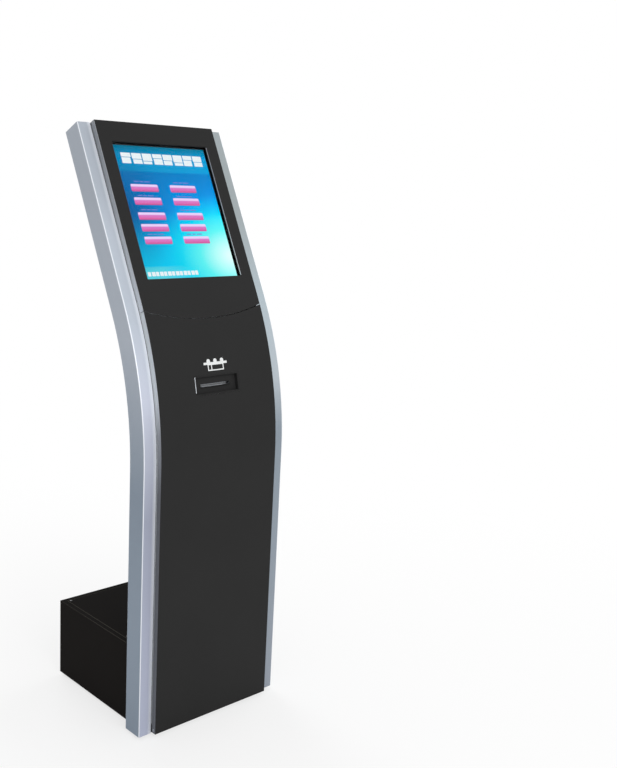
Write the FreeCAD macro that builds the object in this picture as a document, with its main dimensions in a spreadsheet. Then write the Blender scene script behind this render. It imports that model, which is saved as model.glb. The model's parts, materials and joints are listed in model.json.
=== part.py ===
import FreeCAD, Part
import Sketcher
import math
import os
import re

# Queue ticket kiosk that stands on the floor: two bent silver side profiles, a black
# front door with the ticket outlet, a tilted head with a portrait touch screen, a
# rear shell and a low base box. All sizes are millimetres. X runs to the right seen
# from the front, Y to the back and Z up, with the floor at zero.

SIZES = [
    # column and its bend
    ("overall_width", 414), ("side_width", 35), ("side_depth", 57), ("side_wall", 3),
    ("side_round", 2.5), ("straight_height", 642), ("bend_radius", 830),
    ("head_tilt", 27.2), ("head_length", 440), ("foot_height", 8),
    # front panels
    ("panel_gap", 1), ("panel_out", 15), ("skin", 2), ("pan_back", 1),
    ("floor_gap", 2), ("seam_low", 984), ("seam_sag", 26), ("seam_gap", 1.5),
    # touch screen: 17 inch, five to four, upright
    ("screen_width", 270.3), ("screen_height", 337.9), ("screen_top", 53),
    ("opening_gap", 0.6), ("bevel", 2), ("glass_recess", 6), ("glass_thick", 3),
    ("glass_margin", 10), ("lcd_margin", 13.1), ("lcd_end_margin", 10.3),
    ("lcd_depth", 17.8), ("seat_gap", 0.2), ("strap_width", 30), ("strap_thick", 2),
    # ticket outlet
    ("outlet_place", 830), ("outlet_width", 130), ("outlet_height", 46),
    ("outlet_rim", 4), ("outlet_recess", 11.5), ("outlet_wall", 1.5),
    ("slot_width", 84), ("slot_height", 6), ("lip_reach", 7), ("lip_thick", 1.6),
    ("symbol_place", 875), ("symbol_width", 68), ("symbol_height", 28),
    ("symbol_thick", 0.3), ("symbol_line", 2.5),
    # base box, base plate and feet
    ("box_width", 368), ("box_reach", 400), ("box_height", 200), ("sheet_metal", 1.5),
    ("plate_thick", 3), ("plate_back", 2.5), ("rim_width", 14), ("lid_gap", 0.8),
    ("ledge_width", 10), ("lid_front", 112), ("screw_radius", 3.5),
    ("screw_head", 1.5), ("screw_inset", 12),
    ("pad_radius", 15), ("pad_height", 6), ("stud_radius", 4), ("stud_length", 16),
    ("foot_inset", 28), ("anchor_radius", 6), ("anchor_inset", 50), ("anchor_front", 60),
    ("anchor_rear", 24),
    # rear shell and rails
    ("shell_inset", 4), ("bulge_width", 300), ("bulge_depth", 50),
    ("vent_width", 80), ("vent_height", 4), ("vent_pitch", 12), ("rail_size", 20),
    ("cap_depth", 10),
    # door hinge at the foot
    ("hinge_up", 10), ("hinge_out", 7), ("pin_radius", 3), ("pin_fit", 0.05),
    ("knuckle_radius", 5), ("hinge_arm", 3), ("arm_gap", 1), ("arm_length", 30),
    # cam lock on the right profile
    ("lock_height", 600), ("lock_back", 14), ("cam_length", 24), ("cam_width", 10),
    ("cam_thick", 3), ("cam_inset", 9), ("barrel_radius", 8), ("barrel_head", 10),
    ("lock_gap", 0.3), ("strike_thick", 2.5), ("strike_width", 18),
    # ticket printer
    ("paper_width", 80), ("roll_radius", 38), ("roll_back", 66), ("roll_drop", 70),
    ("core_radius", 9), ("spindle_radius", 6), ("spindle_fit", 0.05),
    ("platen_radius", 6), ("platen_back", 13), ("platen_up", 6.5),
    ("shaft_radius", 2.5), ("gear_module", 0.8), ("platen_teeth", 22),
    ("idler_teeth", 24), ("pinion_teeth", 12), ("gear_thick", 4), ("gear_side", 1),
    ("chassis_half", 45), ("chassis_thick", 2), ("head_thick", 11.8),
    ("head_depth", 11), ("blade_thick", 2), ("cutter_thick", 1), ("cutter_height", 12),
    ("cutter_rise", 0.9), ("motor_size", 20), ("motor_length", 22),
    ("bracket_back", 30), ("bracket_thick", 2), ("bracket_top", 50),
    ("bracket_rim", 17), ("bracket_fold", 16), ("window_room", 4), ("paper_thick", 0.15),
    ("lever_length", 26), ("lever_thick", 3), ("lever_pin", 2),
    ("button_radius", 4), ("button_travel", 1.2), ("board_thick", 1.6),
    ("board_width", 68), ("board_height", 60), ("board_gap", 15),
    # inside the base box
    ("pc_width", 150), ("pc_depth", 170), ("pc_rear", 48), ("pc_height", 60),
    ("supply_width", 110),
    ("supply_depth", 160), ("supply_height", 50), ("supply_rear", 40), ("fan_size", 80),
    ("fan_depth", 25), ("fan_hub", 16), ("fan_blade", 34), ("fan_blades", 7),
    ("fan_place", 85), ("fan_up", 110), ("rocker_width", 10), ("rocker_height", 21),
    ("power_button", 6), ("socket_up", 110),
]

doc = FreeCAD.newDocument("ticket_kiosk")
sizes = doc.addObject("Spreadsheet::Sheet", "sizes")
for row, (alias, number) in enumerate(SIZES, start=1):
    sizes.set(f"A{row}", str(number))
    sizes.setAlias(f"A{row}", alias)
doc.recompute()

NAMES = sorted((alias for alias, number in SIZES), key=len, reverse=True)
WORDS = re.compile(r"\b(" + "|".join(NAMES) + r")\b")
AXES = {
    "x": FreeCAD.Rotation(FreeCAD.Vector(0, 1, 0), 90),
    "y": FreeCAD.Rotation(FreeCAD.Vector(1, 0, 0), -90),
    "z": FreeCAD.Rotation(),
}
pieces = []


def formula(text):
    """A formula over the sheet's names, as an object's property wants it."""
    return WORDS.sub(r"sizes.\1", str(text))


def number(text):
    """The present value of a formula."""
    value = sizes.evalExpression(formula(text))
    return float(getattr(value, "Value", value))


def minus(text):
    return f"-({text})"


def bind(thing, **properties):
    for name, text in properties.items():
        thing.setExpression(name.replace("__", "."), formula(text))
    return thing


# Places that many pieces share. The path runs up the silver front: straight, bent,
# straight again. A distance in front of it is positive, behind it negative.
FRONT = "((panel_out - box_reach) / 2)"
REAR = f"({FRONT} + box_reach)"
KNEE = "(foot_height + straight_height)"
HEAD_Y = f"({FRONT} + bend_radius * (1 - cos(head_tilt)))"
HEAD_Z = f"({KNEE} + bend_radius * sin(head_tilt))"
OUTLET_TURN = "((outlet_place - straight_height) / bend_radius * 180 / pi)"
SEAM_TURN = "((seam_low - straight_height) / bend_radius * 180 / pi)"
SYMBOL_TURN = "((symbol_place - straight_height) / bend_radius * 180 / pi)"
INNER = "(overall_width / 2 - side_width)"
PANEL = f"({INNER} - panel_gap)"
SEAM_RADIUS = f"(({PANEL} * {PANEL} + seam_sag * seam_sag) / (2 * seam_sag))"
BOX_TOP = "(foot_height + box_height)"
FLOOR_TOP = "(foot_height + plate_thick)"
SCREEN_MIDDLE = "(head_length - screen_top - screen_height / 2)"
GLASS_FRONT = "(panel_out - glass_recess)"
GLASS_BACK = f"({GLASS_FRONT} - glass_thick - seat_gap)"
SHELL = "(overall_width / 2 - shell_inset)"
SHELL_BACK = "(side_depth + bulge_depth)"
DOOR_ARM = f"({PANEL} - skin - arm_gap)"


def on_bend(turn):
    """Where the path is after turning by the given angle."""
    return (f"({FRONT} + bend_radius * (1 - cos({turn})))",
            f"({KNEE} + bend_radius * sin({turn}))")


def place(thing, y, z, turn):
    """Stand a piece on the path and lean it back by the angle there."""
    thing.Placement = FreeCAD.Placement(
        FreeCAD.Vector(0, number(y), number(z)),
        FreeCAD.Rotation(FreeCAD.Vector(-1, 0, 0), number(turn)))
    bind(thing, Placement__Base__y=y, Placement__Base__z=z,
         Placement__Rotation__Angle=turn)


def at_head(thing):
    place(thing, HEAD_Y, HEAD_Z, "head_tilt")


def at_outlet(thing):
    place(thing, *on_bend(OUTLET_TURN), OUTLET_TURN)


def keep(name, thing, where=None):
    """Name a finished sub-part and put it where it belongs."""
    if where and thing.TypeId in ("Part::Box", "Part::Cylinder"):
        thing.Label = name + "_solid"
        thing = set_of(name + "_set", [thing])
    thing.Label = name
    if where:
        where(thing)
    pieces.append(thing)
    return thing


def box(name, x, y, z):
    thing = doc.addObject("Part::Box", name)
    return bind(thing, Length=f"({x[1]}) - ({x[0]})", Width=f"({y[1]}) - ({y[0]})",
                Height=f"({z[1]}) - ({z[0]})", Placement__Base__x=x[0],
                Placement__Base__y=y[0], Placement__Base__z=z[0])


def slab(name, x, depth, z):
    """A box whose depth is given as distances in front of the path."""
    return box(name, x, (minus(depth[1]), minus(depth[0])), z)


def rod(name, axis, centre, radius, start, end):
    """A round bar along an axis; centre holds the two other coordinates in order."""
    thing = doc.addObject("Part::Cylinder", name)
    thing.Placement = FreeCAD.Placement(FreeCAD.Vector(), AXES[axis])
    spots = {"x": (start, *centre), "y": (centre[0], start, centre[1]),
             "z": (*centre, start)}[axis]
    return bind(thing, Radius=radius, Height=f"({end}) - ({start})",
                Placement__Base__x=spots[0], Placement__Base__y=spots[1],
                Placement__Base__z=spots[2])


def joined(name, things):
    thing = doc.addObject("Part::MultiFuse", name)
    thing.Shapes = things
    thing.Refine = True
    return thing


def set_of(name, things):
    thing = doc.addObject("Part::Compound", name)
    thing.Links = things
    return thing


def cut(name, base, *tools):
    thing = doc.addObject("Part::Cut", name)
    thing.Base = base
    thing.Tool = tools[0] if len(tools) == 1 else joined(name + "_tools", list(tools))
    return thing


def common(name, one, other):
    thing = doc.addObject("Part::Common", name)
    thing.Base = one
    thing.Tool = other
    return thing


def new_body(name):
    return doc.addObject("PartDesign::Body", name)


def draw_on(body, name, plane, offset="0"):
    """A sketch on one of the body's own planes, moved along the plane's normal."""
    sketch = body.newObject("Sketcher::SketchObject", name)
    support = [f for f in body.Origin.OriginFeatures if f.Role == plane][0]
    sketch.AttachmentSupport = (support, [""])
    sketch.MapMode = "FlatFace"
    return bind(sketch, AttachmentOffset__Base__z=offset)


def hold(sketch, kind, where, text):
    index = sketch.addConstraint(Sketcher.Constraint(kind, *where, number(text)))
    sketch.setExpression(f"Constraints[{index}]", formula(text))


def outline(sketch, points):
    """A closed outline of straight lines through the given points."""
    spots = [FreeCAD.Vector(number(a), number(b), 0) for a, b in points]
    first = sketch.GeometryCount
    count = len(points)
    for i in range(count):
        sketch.addGeometry(Part.LineSegment(spots[i], spots[(i + 1) % count]))
    for i in range(count):
        after = first + (i + 1) % count
        sketch.addConstraint(Sketcher.Constraint("Coincident", first + i, 2, after, 1))
    for i, (a, b) in enumerate(points):
        hold(sketch, "DistanceX", (-1, 1, first + i, 1), a)
        hold(sketch, "DistanceY", (-1, 1, first + i, 1), b)


def rectangle(sketch, x, y):
    outline(sketch, [(x[0], y[0]), (x[1], y[0]), (x[1], y[1]), (x[0], y[1])])


def ring(sketch, x, y, radius):
    centre = FreeCAD.Vector(number(x), number(y), 0)
    index = sketch.addGeometry(Part.Circle(centre, FreeCAD.Vector(0, 0, 1),
                                           number(radius)))
    hold(sketch, "DistanceX", (-1, 1, index, 3), x)
    hold(sketch, "DistanceY", (-1, 1, index, 3), y)
    hold(sketch, "Radius", (index,), radius)


def pad(body, sketch, length):
    thing = body.newObject("PartDesign::Pad", sketch.Name + "_pad")
    thing.Profile = sketch
    return bind(thing, Length=length)


def pocket(body, sketch, length, reverse=True):
    """Cut the outline into the body and make sure that it took something away."""
    doc.recompute()
    before = body.Shape.Volume
    thing = body.newObject("PartDesign::Pocket", sketch.Name + "_pocket")
    thing.Profile = sketch
    thing.Reversed = reverse
    bind(thing, Length=length)
    doc.recompute()
    if body.Shape.Volume > before - 0.01:
        raise RuntimeError(f"{sketch.Name} cuts nothing")
    return thing


def band(sketch, front, back, low, high):
    """A line, arc and line outline between two distances from the path."""
    tilt = math.radians(number("head_tilt"))
    middle = (f"{FRONT} + bend_radius", KNEE)
    centre = FreeCAD.Vector(number(middle[0]), number(middle[1]), 0)
    bottom = number(f"foot_height + {low}")

    def corners(distance):
        reach = number("bend_radius") + number(distance)
        bend_end = centre + FreeCAD.Vector(-reach * math.cos(tilt),
                                           reach * math.sin(tilt), 0)
        along = FreeCAD.Vector(math.sin(tilt), math.cos(tilt), 0)
        return (FreeCAD.Vector(centre.x - reach, bottom, 0),
                FreeCAD.Vector(centre.x - reach, centre.y, 0), bend_end,
                bend_end + along * number(high))

    def bow(distance):
        circle = Part.Circle(centre, FreeCAD.Vector(0, 0, 1),
                             number("bend_radius") + number(distance))
        return Part.ArcOfCircle(circle, math.pi - tilt, math.pi)

    a = corners(front)
    b = corners(back)
    line = Part.LineSegment
    sketch.addGeometry([line(a[0], a[1]), bow(front), line(a[2], a[3]),
                        line(a[3], b[3]), line(b[3], b[2]), bow(back),
                        line(b[1], b[0]), line(b[0], a[0])])
    rules = [("Coincident", 0, 1, 7, 2), ("Tangent", 0, 2, 1, 2),
             ("Tangent", 1, 1, 2, 1), ("Coincident", 2, 2, 3, 1),
             ("Coincident", 3, 2, 4, 1), ("Tangent", 4, 2, 5, 1),
             ("Tangent", 5, 2, 6, 1), ("Coincident", 6, 2, 7, 1), ("Vertical", 0),
             ("Vertical", 6), ("Coincident", 1, 3, 5, 3), ("Parallel", 2, 4),
             ("Perpendicular", 2, 3), ("Horizontal", 7)]
    sketch.addConstraint([Sketcher.Constraint(*rule) for rule in rules])
    hold(sketch, "DistanceX", (-1, 1, 1, 3), middle[0])
    hold(sketch, "DistanceY", (-1, 1, 1, 3), middle[1])
    hold(sketch, "Radius", (1,), f"bend_radius + {front}")
    hold(sketch, "Radius", (5,), f"bend_radius + {back}")
    hold(sketch, "DistanceY", (-1, 1, 0, 1), f"foot_height + {low}")
    hold(sketch, "Distance", (2,), high)
    index = sketch.addConstraint(Sketcher.Constraint("Angle", 2, math.pi / 2 - tilt))
    sketch.setExpression(f"Constraints[{index}]", formula("90 - head_tilt"))


def bent_plate(name, x, front, back, low="0", high="head_length"):
    """A solid between two distances from the path, over a range of X."""
    body = new_body(name)
    sketch = draw_on(body, name + "_outline", "YZ_Plane", x[0])
    band(sketch, front, back, low, high)
    pad(body, sketch, f"({x[1]}) - ({x[0]})")
    return body


def path_distance(y, z):
    """How far a point lies in front of the path."""
    tilt = math.radians(number("head_tilt"))
    centre_y = number(FRONT) + number("bend_radius")
    along = z - number(KNEE)
    if along <= 0:
        return number(FRONT) - y
    if along <= (centre_y - y) * math.tan(tilt):
        return math.hypot(centre_y - y, along) - number("bend_radius")
    return ((number(HEAD_Y) - y) * math.cos(tilt)
            + (z - number(HEAD_Z)) * math.sin(tilt))


def side_profile(name, side):
    """One bent hollow profile; its four long outer corners are rounded."""
    inside = f"{side} * {INNER}"
    outside = f"{side} * overall_width / 2"
    x = (inside, outside) if side > 0 else (outside, inside)
    body = bent_plate(name, x, "0", "(-side_depth)")
    hollow = draw_on(body, name + "_hollow", "YZ_Plane", f"{x[0]} + side_wall")
    band(hollow, "(-side_wall)", "(side_wall - side_depth)", "(-1)", "head_length + 1")
    pocket(body, hollow, "side_width - 2 * side_wall")
    if side > 0:
        bore = draw_on(body, name + "_bore", "YZ_Plane", x[0])
        ring(bore, f"{FRONT} + lock_back", "foot_height + lock_height",
             "barrel_radius + lock_gap")
        pocket(body, bore, "side_width / 2")
        mouth = draw_on(body, name + "_mouth", "YZ_Plane", f"{x[1]} - side_wall - 1")
        ring(mouth, f"{FRONT} + lock_back", "foot_height + lock_height",
             "barrel_head + lock_gap")
        pocket(body, mouth, "side_wall + 2")
    names = []
    ends = (number(inside), number(outside))
    for index, edge in enumerate(body.Shape.Edges, start=1):
        spots = [edge.valueAt(edge.FirstParameter + part * (
            edge.LastParameter - edge.FirstParameter)) for part in (0.02, 0.5, 0.98)]
        flat = max(abs(spot.x - spots[0].x) for spot in spots) < 0.01
        corner = min(abs(spots[0].x - end) for end in ends) < 0.01
        away = [path_distance(spot.y, spot.z) for spot in spots]
        rims = [min(abs(a), abs(a + number("side_depth"))) < 0.01 for a in away]
        if flat and corner and all(rims):
            names.append(f"Edge{index}")
    sharp = body.Tip
    rounding = body.newObject("PartDesign::Fillet", name + "_rounding")
    rounding.Base = (sharp, names)
    bind(rounding, Radius="min(side_round; side_wall - 0.3)")
    keep(name, body)


def profile_caps():
    """Plugs that close the profiles at the top."""
    plugs = []
    for side, start in (("left", minus("overall_width / 2")), ("right", INNER)):
        plugs.append(slab(f"cap_{side}",
                          (f"{start} + side_wall", f"{start} + side_width - side_wall"),
                          ("side_wall - side_depth", "-side_wall"),
                          ("head_length - cap_depth", "head_length")))
    keep("profile_caps", set_of("profile_caps", plugs), at_head)


def base_plate():
    """The plate under column and box, with holes for floor anchors and feet."""
    body = new_body("base_plate")
    sketch = draw_on(body, "plate_outline", "XY_Plane", "foot_height")
    neck = f"{FRONT} + plate_back"
    shoulder = f"{FRONT} + side_depth"
    outline(sketch, [(minus(INNER), neck), (INNER, neck), (INNER, shoulder),
                     ("box_width / 2", shoulder), ("box_width / 2", REAR),
                     ("-box_width / 2", REAR), ("-box_width / 2", shoulder),
                     (minus(INNER), shoulder)])
    pad(body, sketch, "plate_thick")
    holes = draw_on(body, "anchor_holes", "XY_Plane", "foot_height")
    for x, y in anchor_spots():
        ring(holes, x, y, "anchor_radius")
    pocket(body, holes, "plate_thick")
    threads = draw_on(body, "stud_holes", "XY_Plane", "foot_height")
    for x, y in foot_spots():
        ring(threads, x, y, "stud_radius")
    pocket(body, threads, "plate_thick")
    keep("base_plate", body)


def anchor_spots():
    x = "(box_width / 2 - anchor_inset)"
    return [(sign + x, y) for sign in ("", "-")
            for y in (f"{FRONT} + side_depth + anchor_front", f"{REAR} - anchor_rear")]


def foot_spots():
    near = f"({INNER} - foot_inset)"
    far = "(box_width / 2 - foot_inset)"
    return [(near, f"{FRONT} + foot_inset"), ("-" + near, f"{FRONT} + foot_inset"),
            (far, f"{REAR} - foot_inset"), ("-" + far, f"{REAR} - foot_inset")]


def feet():
    """Four levelling feet: a rubber pad under a threaded stud with its nut."""
    pads = []
    studs = []
    for i, (x, y) in enumerate(foot_spots()):
        pads.append(rod(f"pad_{i}", "z", (x, y), "pad_radius", "0", "pad_height"))
        stud = rod(f"stud_{i}", "z", (x, y), "stud_radius", "pad_height",
                   "pad_height + stud_length")
        nut = doc.addObject("Part::Prism", f"nut_{i}")
        nut.Polygon = 6
        bind(nut, Circumradius="stud_radius * 1.8", Height="stud_radius * 1.6",
             Placement__Base__x=x, Placement__Base__y=y, Placement__Base__z=FLOOR_TOP)
        studs.append(joined(f"foot_{i}", [stud, nut]))
    keep("foot_pads", set_of("foot_pads", pads))
    keep("foot_studs", set_of("foot_studs", studs))


def cross_rails():
    """Square tubes between the profiles: two in the column, two behind the screen."""
    rails = []
    column = (("foot", f"{FLOOR_TOP} + 24"), ("knee", f"{KNEE} - rail_size"))
    for name, z in column:
        back = f"{FRONT} + side_depth - rail_size - side_wall"
        rails.append(box(f"rail_{name}", (minus(INNER), INNER),
                         (back, f"{back} + rail_size"), (z, f"{z} + rail_size")))
    keep("column_rails", set_of("column_rails", rails))
    low, high = strap_ends()
    front = f"({GLASS_BACK} - lcd_depth - strap_thick)"
    heads = []
    for name, z in (("low", low), ("high", f"{high} - rail_size")):
        heads.append(slab(f"rail_{name}", (minus(INNER), INNER),
                          (f"{front} - rail_size", front), (z, f"{z} + rail_size")))
    keep("head_rails", set_of("head_rails", heads), at_head)


def strap_ends():
    reach = "(screen_height / 2 + lcd_end_margin + rail_size + 8)"
    return f"({SCREEN_MIDDLE} - {reach})", f"({SCREEN_MIDDLE} + {reach})"


def screen():
    """Glass, gasket, display module and the two straps that carry it."""
    middle = SCREEN_MIDDLE

    def spread(width, height):
        return ((f"-({width})", width), (f"{middle} - ({height})",
                                         f"{middle} + ({height})"))

    wide = "screen_width / 2 + glass_margin"
    tall = "screen_height / 2 + glass_margin"
    x, z = spread(wide, tall)
    glass = slab("glass_slab", x, (f"{GLASS_FRONT} - glass_thick", GLASS_FRONT), z)
    keep("screen_glass", glass, at_head)
    outer = slab("gasket_outer", x, (GLASS_FRONT, "panel_out - skin"), z)
    x, z = spread("screen_width / 2 + opening_gap + 1",
                  "screen_height / 2 + opening_gap + 1")
    inner = slab("gasket_inner", x, (f"{GLASS_FRONT} - 1", "panel_out"), z)
    keep("screen_gasket", cut("screen_gasket", outer, inner), at_head)
    x, z = spread("screen_width / 2 + lcd_margin", "screen_height / 2 + lcd_end_margin")
    module = slab("module_slab", x, (f"{GLASS_BACK} - lcd_depth", GLASS_BACK), z)
    keep("display_module", module, at_head)
    low, high = strap_ends()
    straps = []
    back = f"{GLASS_BACK} - lcd_depth"
    for name, x in (("left", "-screen_width / 3"), ("right", "screen_width / 3")):
        straps.append(slab(f"strap_{name}", (f"{x} - strap_width / 2",
                                             f"{x} + strap_width / 2"),
                           (f"{back} - strap_thick", back), (low, high)))
    keep("display_straps", set_of("display_straps", straps), at_head)


def seam_cylinder(name, extra):
    """The big round cutter that gives the seam between head and door its curve."""
    y, z = on_bend(SEAM_TURN)
    reach = "(3 * side_depth)"
    thing = doc.addObject("Part::Cylinder", name)
    turn = f"90 - {SEAM_TURN}"
    thing.Placement = FreeCAD.Placement(
        FreeCAD.Vector(), FreeCAD.Rotation(FreeCAD.Vector(1, 0, 0), number(turn)))
    return bind(thing, Radius=f"{SEAM_RADIUS} + {extra}", Height=f"2 * {reach}",
                Placement__Rotation__Angle=turn,
                Placement__Base__y=(f"{y} + {SEAM_RADIUS} * sin({SEAM_TURN})"
                                    f" + {reach} * cos({SEAM_TURN})"),
                Placement__Base__z=(f"{z} + {SEAM_RADIUS} * cos({SEAM_TURN})"
                                    f" - {reach} * sin({SEAM_TURN})"))


def head_panel():
    """The black face round the screen and the silver return behind its edge."""
    wide = (minus(PANEL), PANEL)
    face = bent_plate("head_face", wide, "panel_out", "(panel_out - skin)")
    shape = common("head_face_shape", face, seam_cylinder("head_cutter", "0"))
    width = "(screen_width / 2 + opening_gap)"
    tall = "(screen_height / 2 + opening_gap)"
    wedge = doc.addObject("Part::Wedge", "screen_cutter")
    bind(wedge, Xmin=minus(f"{width} + bevel"), Xmax=f"{width} + bevel",
         Zmin=f"{SCREEN_MIDDLE} - {tall} - bevel",
         Zmax=f"{SCREEN_MIDDLE} + {tall} + bevel", Ymin="-panel_out",
         Ymax="skin - panel_out", X2min=minus(width), X2max=width,
         Z2min=f"{SCREEN_MIDDLE} - {tall}", Z2max=f"{SCREEN_MIDDLE} + {tall}")
    at_head(wedge)
    keep("head_panel", cut("head_panel", shape, wedge))
    outer = bent_plate("head_return", wide, "(panel_out - skin)", "pan_back")
    outer = common("head_return_outer", outer, seam_cylinder("return_cutter", "0"))
    inner = bent_plate("head_room", (f"skin - {PANEL}", f"{PANEL} - skin"),
                       "panel_out", "(pan_back - 1)", "0", "head_length - skin")
    inner = common("head_return_inner", inner, seam_cylinder("room_cutter", "(-skin)"))
    keep("head_edge_frame", cut("head_edge_frame", outer, inner))


def outlet_cutter(name, width, height, depth):
    """A box through the door at the ticket outlet."""
    block = slab(name, (f"-({width}) / 2", f"({width}) / 2"), depth,
                 (f"-({height}) / 2", f"({height}) / 2"))
    thing = set_of(name + "_set", [block])
    at_outlet(thing)
    return thing


def front_door():
    """The door pan: a bent skin with side and top returns, open at the bottom."""
    body = bent_plate("door_outer", (minus(PANEL), PANEL), "panel_out", "pan_back",
                      "floor_gap")
    outer = cut("door_outer_shape", body, seam_cylinder("door_cutter", "seam_gap"))
    room = bent_plate("door_room", (f"skin - {PANEL}", f"{PANEL} - skin"),
                      "(panel_out - skin)", "(pan_back - 1)", "0")
    inner = cut("door_inner_shape", room,
                seam_cylinder("door_room_cutter", "(seam_gap + skin)"))
    pan = cut("door_pan", outer, inner)
    hole = outlet_cutter("door_hole", "outlet_width", "outlet_height",
                         ("-side_depth", "side_depth"))
    pivot = rod("pivot_bore", "x", (f"{FRONT} - hinge_out", "foot_height + hinge_up"),
                "pin_radius + pin_fit", minus(INNER), INNER)
    keep("front_door", cut("front_door", pan, hole, pivot))


def outlet_bezel():
    """The recessed tray round the ticket slot, set in the door from the front."""
    body = new_body("outlet_bezel")
    gap = "seat_gap"
    x = (f"{gap} - outlet_width / 2", f"outlet_width / 2 - {gap}")
    z = (f"{gap} - outlet_height / 2", f"outlet_height / 2 - {gap}")
    back = "(panel_out - outlet_recess - outlet_wall)"
    block = draw_on(body, "bezel_block", "XZ_Plane", back)
    rectangle(block, x, z)
    pad(body, block, "outlet_recess + outlet_wall")
    recess = draw_on(body, "bezel_recess", "XZ_Plane", "panel_out - outlet_recess")
    rectangle(recess, (f"{x[0]} + outlet_rim", f"{x[1]} - outlet_rim"),
              (f"{z[0]} + outlet_rim", f"{z[1]} - outlet_rim"))
    pocket(body, recess, "outlet_recess + 1")
    slot = draw_on(body, "bezel_slot", "XZ_Plane", f"{back} - 1")
    rectangle(slot, ("-slot_width / 2", "slot_width / 2"),
              ("-slot_height / 2", "slot_height / 2"))
    pocket(body, slot, "outlet_wall + 2")
    front = number(f"-panel_out")
    corner = number("outlet_width / 2 - seat_gap - outlet_rim")
    names = []
    for index, edge in enumerate(body.Shape.Edges, start=1):
        spots = [vertex.Point for vertex in edge.Vertexes]
        if all(abs(p.y - front) < 0.01 and abs(p.x) < corner + 0.01 for p in spots):
            names.append(f"Edge{index}")
    sharp = body.Tip
    bevel = body.newObject("PartDesign::Chamfer", "bezel_chamfer")
    bevel.Base = (sharp, names)
    bind(bevel, Size="outlet_rim / 2")
    keep("outlet_bezel", body, at_outlet)
    lip = slab("lip_bar", ("-slot_width / 2 - lip_thick", "slot_width / 2 + lip_thick"),
               ("panel_out - outlet_recess",
                "panel_out - outlet_recess + lip_reach"),
               ("-slot_height / 2 - lip_thick", "-slot_height / 2"))
    keep("tear_bar", lip, at_outlet)


def ticket_symbol():
    """A plain printed sign above the slot: three heads over a counter, and a ticket."""
    side = "symbol_width / 2"
    top = "symbol_height / 2"
    depth = ("panel_out - 4", "panel_out + 4")
    counter = ("symbol_height * 0.02", "symbol_height * 0.22")
    parts = [slab("sign_counter", (minus(side), side), depth, counter)]
    radius = "symbol_height * 0.18"
    for i in (-1, 0, 1):
        centre = (f"{i} * symbol_width * 0.29", f"{top} - {radius}")
        parts.append(rod(f"sign_head_{i + 1}", "y", centre, radius,
                         "-panel_out - 4", "4 - panel_out"))
    edge = "symbol_width * 0.34"
    parts.append(slab("sign_ticket", (minus(edge), edge), depth,
                      (minus(top), counter[0])))
    rows = ("symbol_line - symbol_height / 2", f"{counter[0]} - symbol_line / 2")
    tear = "symbol_width * 0.16"
    panes = [slab("sign_stub", (f"symbol_line - {edge}", f"-{tear} - symbol_line"),
                  depth, rows),
             slab("sign_sheet", (minus(tear), f"{edge} - symbol_line"), depth, rows)]
    stamp = cut("sign_stamp", joined("sign_solid", parts), set_of("sign_panes", panes))
    place(stamp, *on_bend(SYMBOL_TURN), SYMBOL_TURN)
    film = bent_plate("symbol_film", ("-symbol_width", "symbol_width"),
                      "(panel_out + symbol_thick)", "panel_out")
    keep("ticket_symbol", common("ticket_symbol", film, stamp))


def rear_shell():
    """The rear cover: flanges over the profiles and a deep bulge with air slots."""
    flange = bent_plate("shell_flange", (minus(SHELL), SHELL), "(-side_depth)",
                        "(-side_depth - sheet_metal)", "box_height")
    bulge = bent_plate("shell_bulge", ("-bulge_width / 2", "bulge_width / 2"),
                       "(-side_depth)", f"(-{SHELL_BACK})", "box_height")
    room = bent_plate("shell_room", ("sheet_metal - bulge_width / 2",
                                     "bulge_width / 2 - sheet_metal"),
                      "(1 - side_depth)", f"(sheet_metal - {SHELL_BACK})",
                      "(box_height - 1)", "head_length - sheet_metal")
    slots = []
    for group, x in (("left", "-vent_width"), ("right", "vent_width / 4")):
        for i in range(6):
            z = f"{KNEE} - 120 + {i} * vent_pitch"
            slots.append(box(f"vent_{group}_{i}", (x, f"{x} + vent_width * 0.75"),
                             (f"{FRONT} + {SHELL_BACK} - 2 * sheet_metal",
                              f"{FRONT} + {SHELL_BACK} + 1"),
                             (z, f"{z} + vent_height")))
    whole = joined("shell_solid", [flange, bulge])
    keep("rear_shell", cut("rear_shell", whole, room, *slots))
    screws = []
    for side in ("", "-"):
        for i in range(4):
            z = f"{BOX_TOP} + screw_inset + {i} * ({KNEE} - {BOX_TOP} - 2 * screw_inset) / 3"
            x = f"{side}({SHELL} - screw_inset)"
            centre = (x, z)
            face = f"{FRONT} + side_depth + sheet_metal"
            screws.append(rod(f"shell_screw_{side and 'left' or 'right'}_{i}", "y",
                              centre, "screw_radius", face, f"{face} + screw_head"))
    keep("shell_screws", set_of("shell_screws", screws))


def top_cap():
    """The plate that closes the column between the profiles at the top."""
    plate = slab("top_plate", (minus(INNER), INNER),
                 ("-side_depth", "pan_back - 2 * seat_gap - 1"),
                 ("head_length - side_wall", "head_length"))
    keep("top_cap", plate, at_head)


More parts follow.
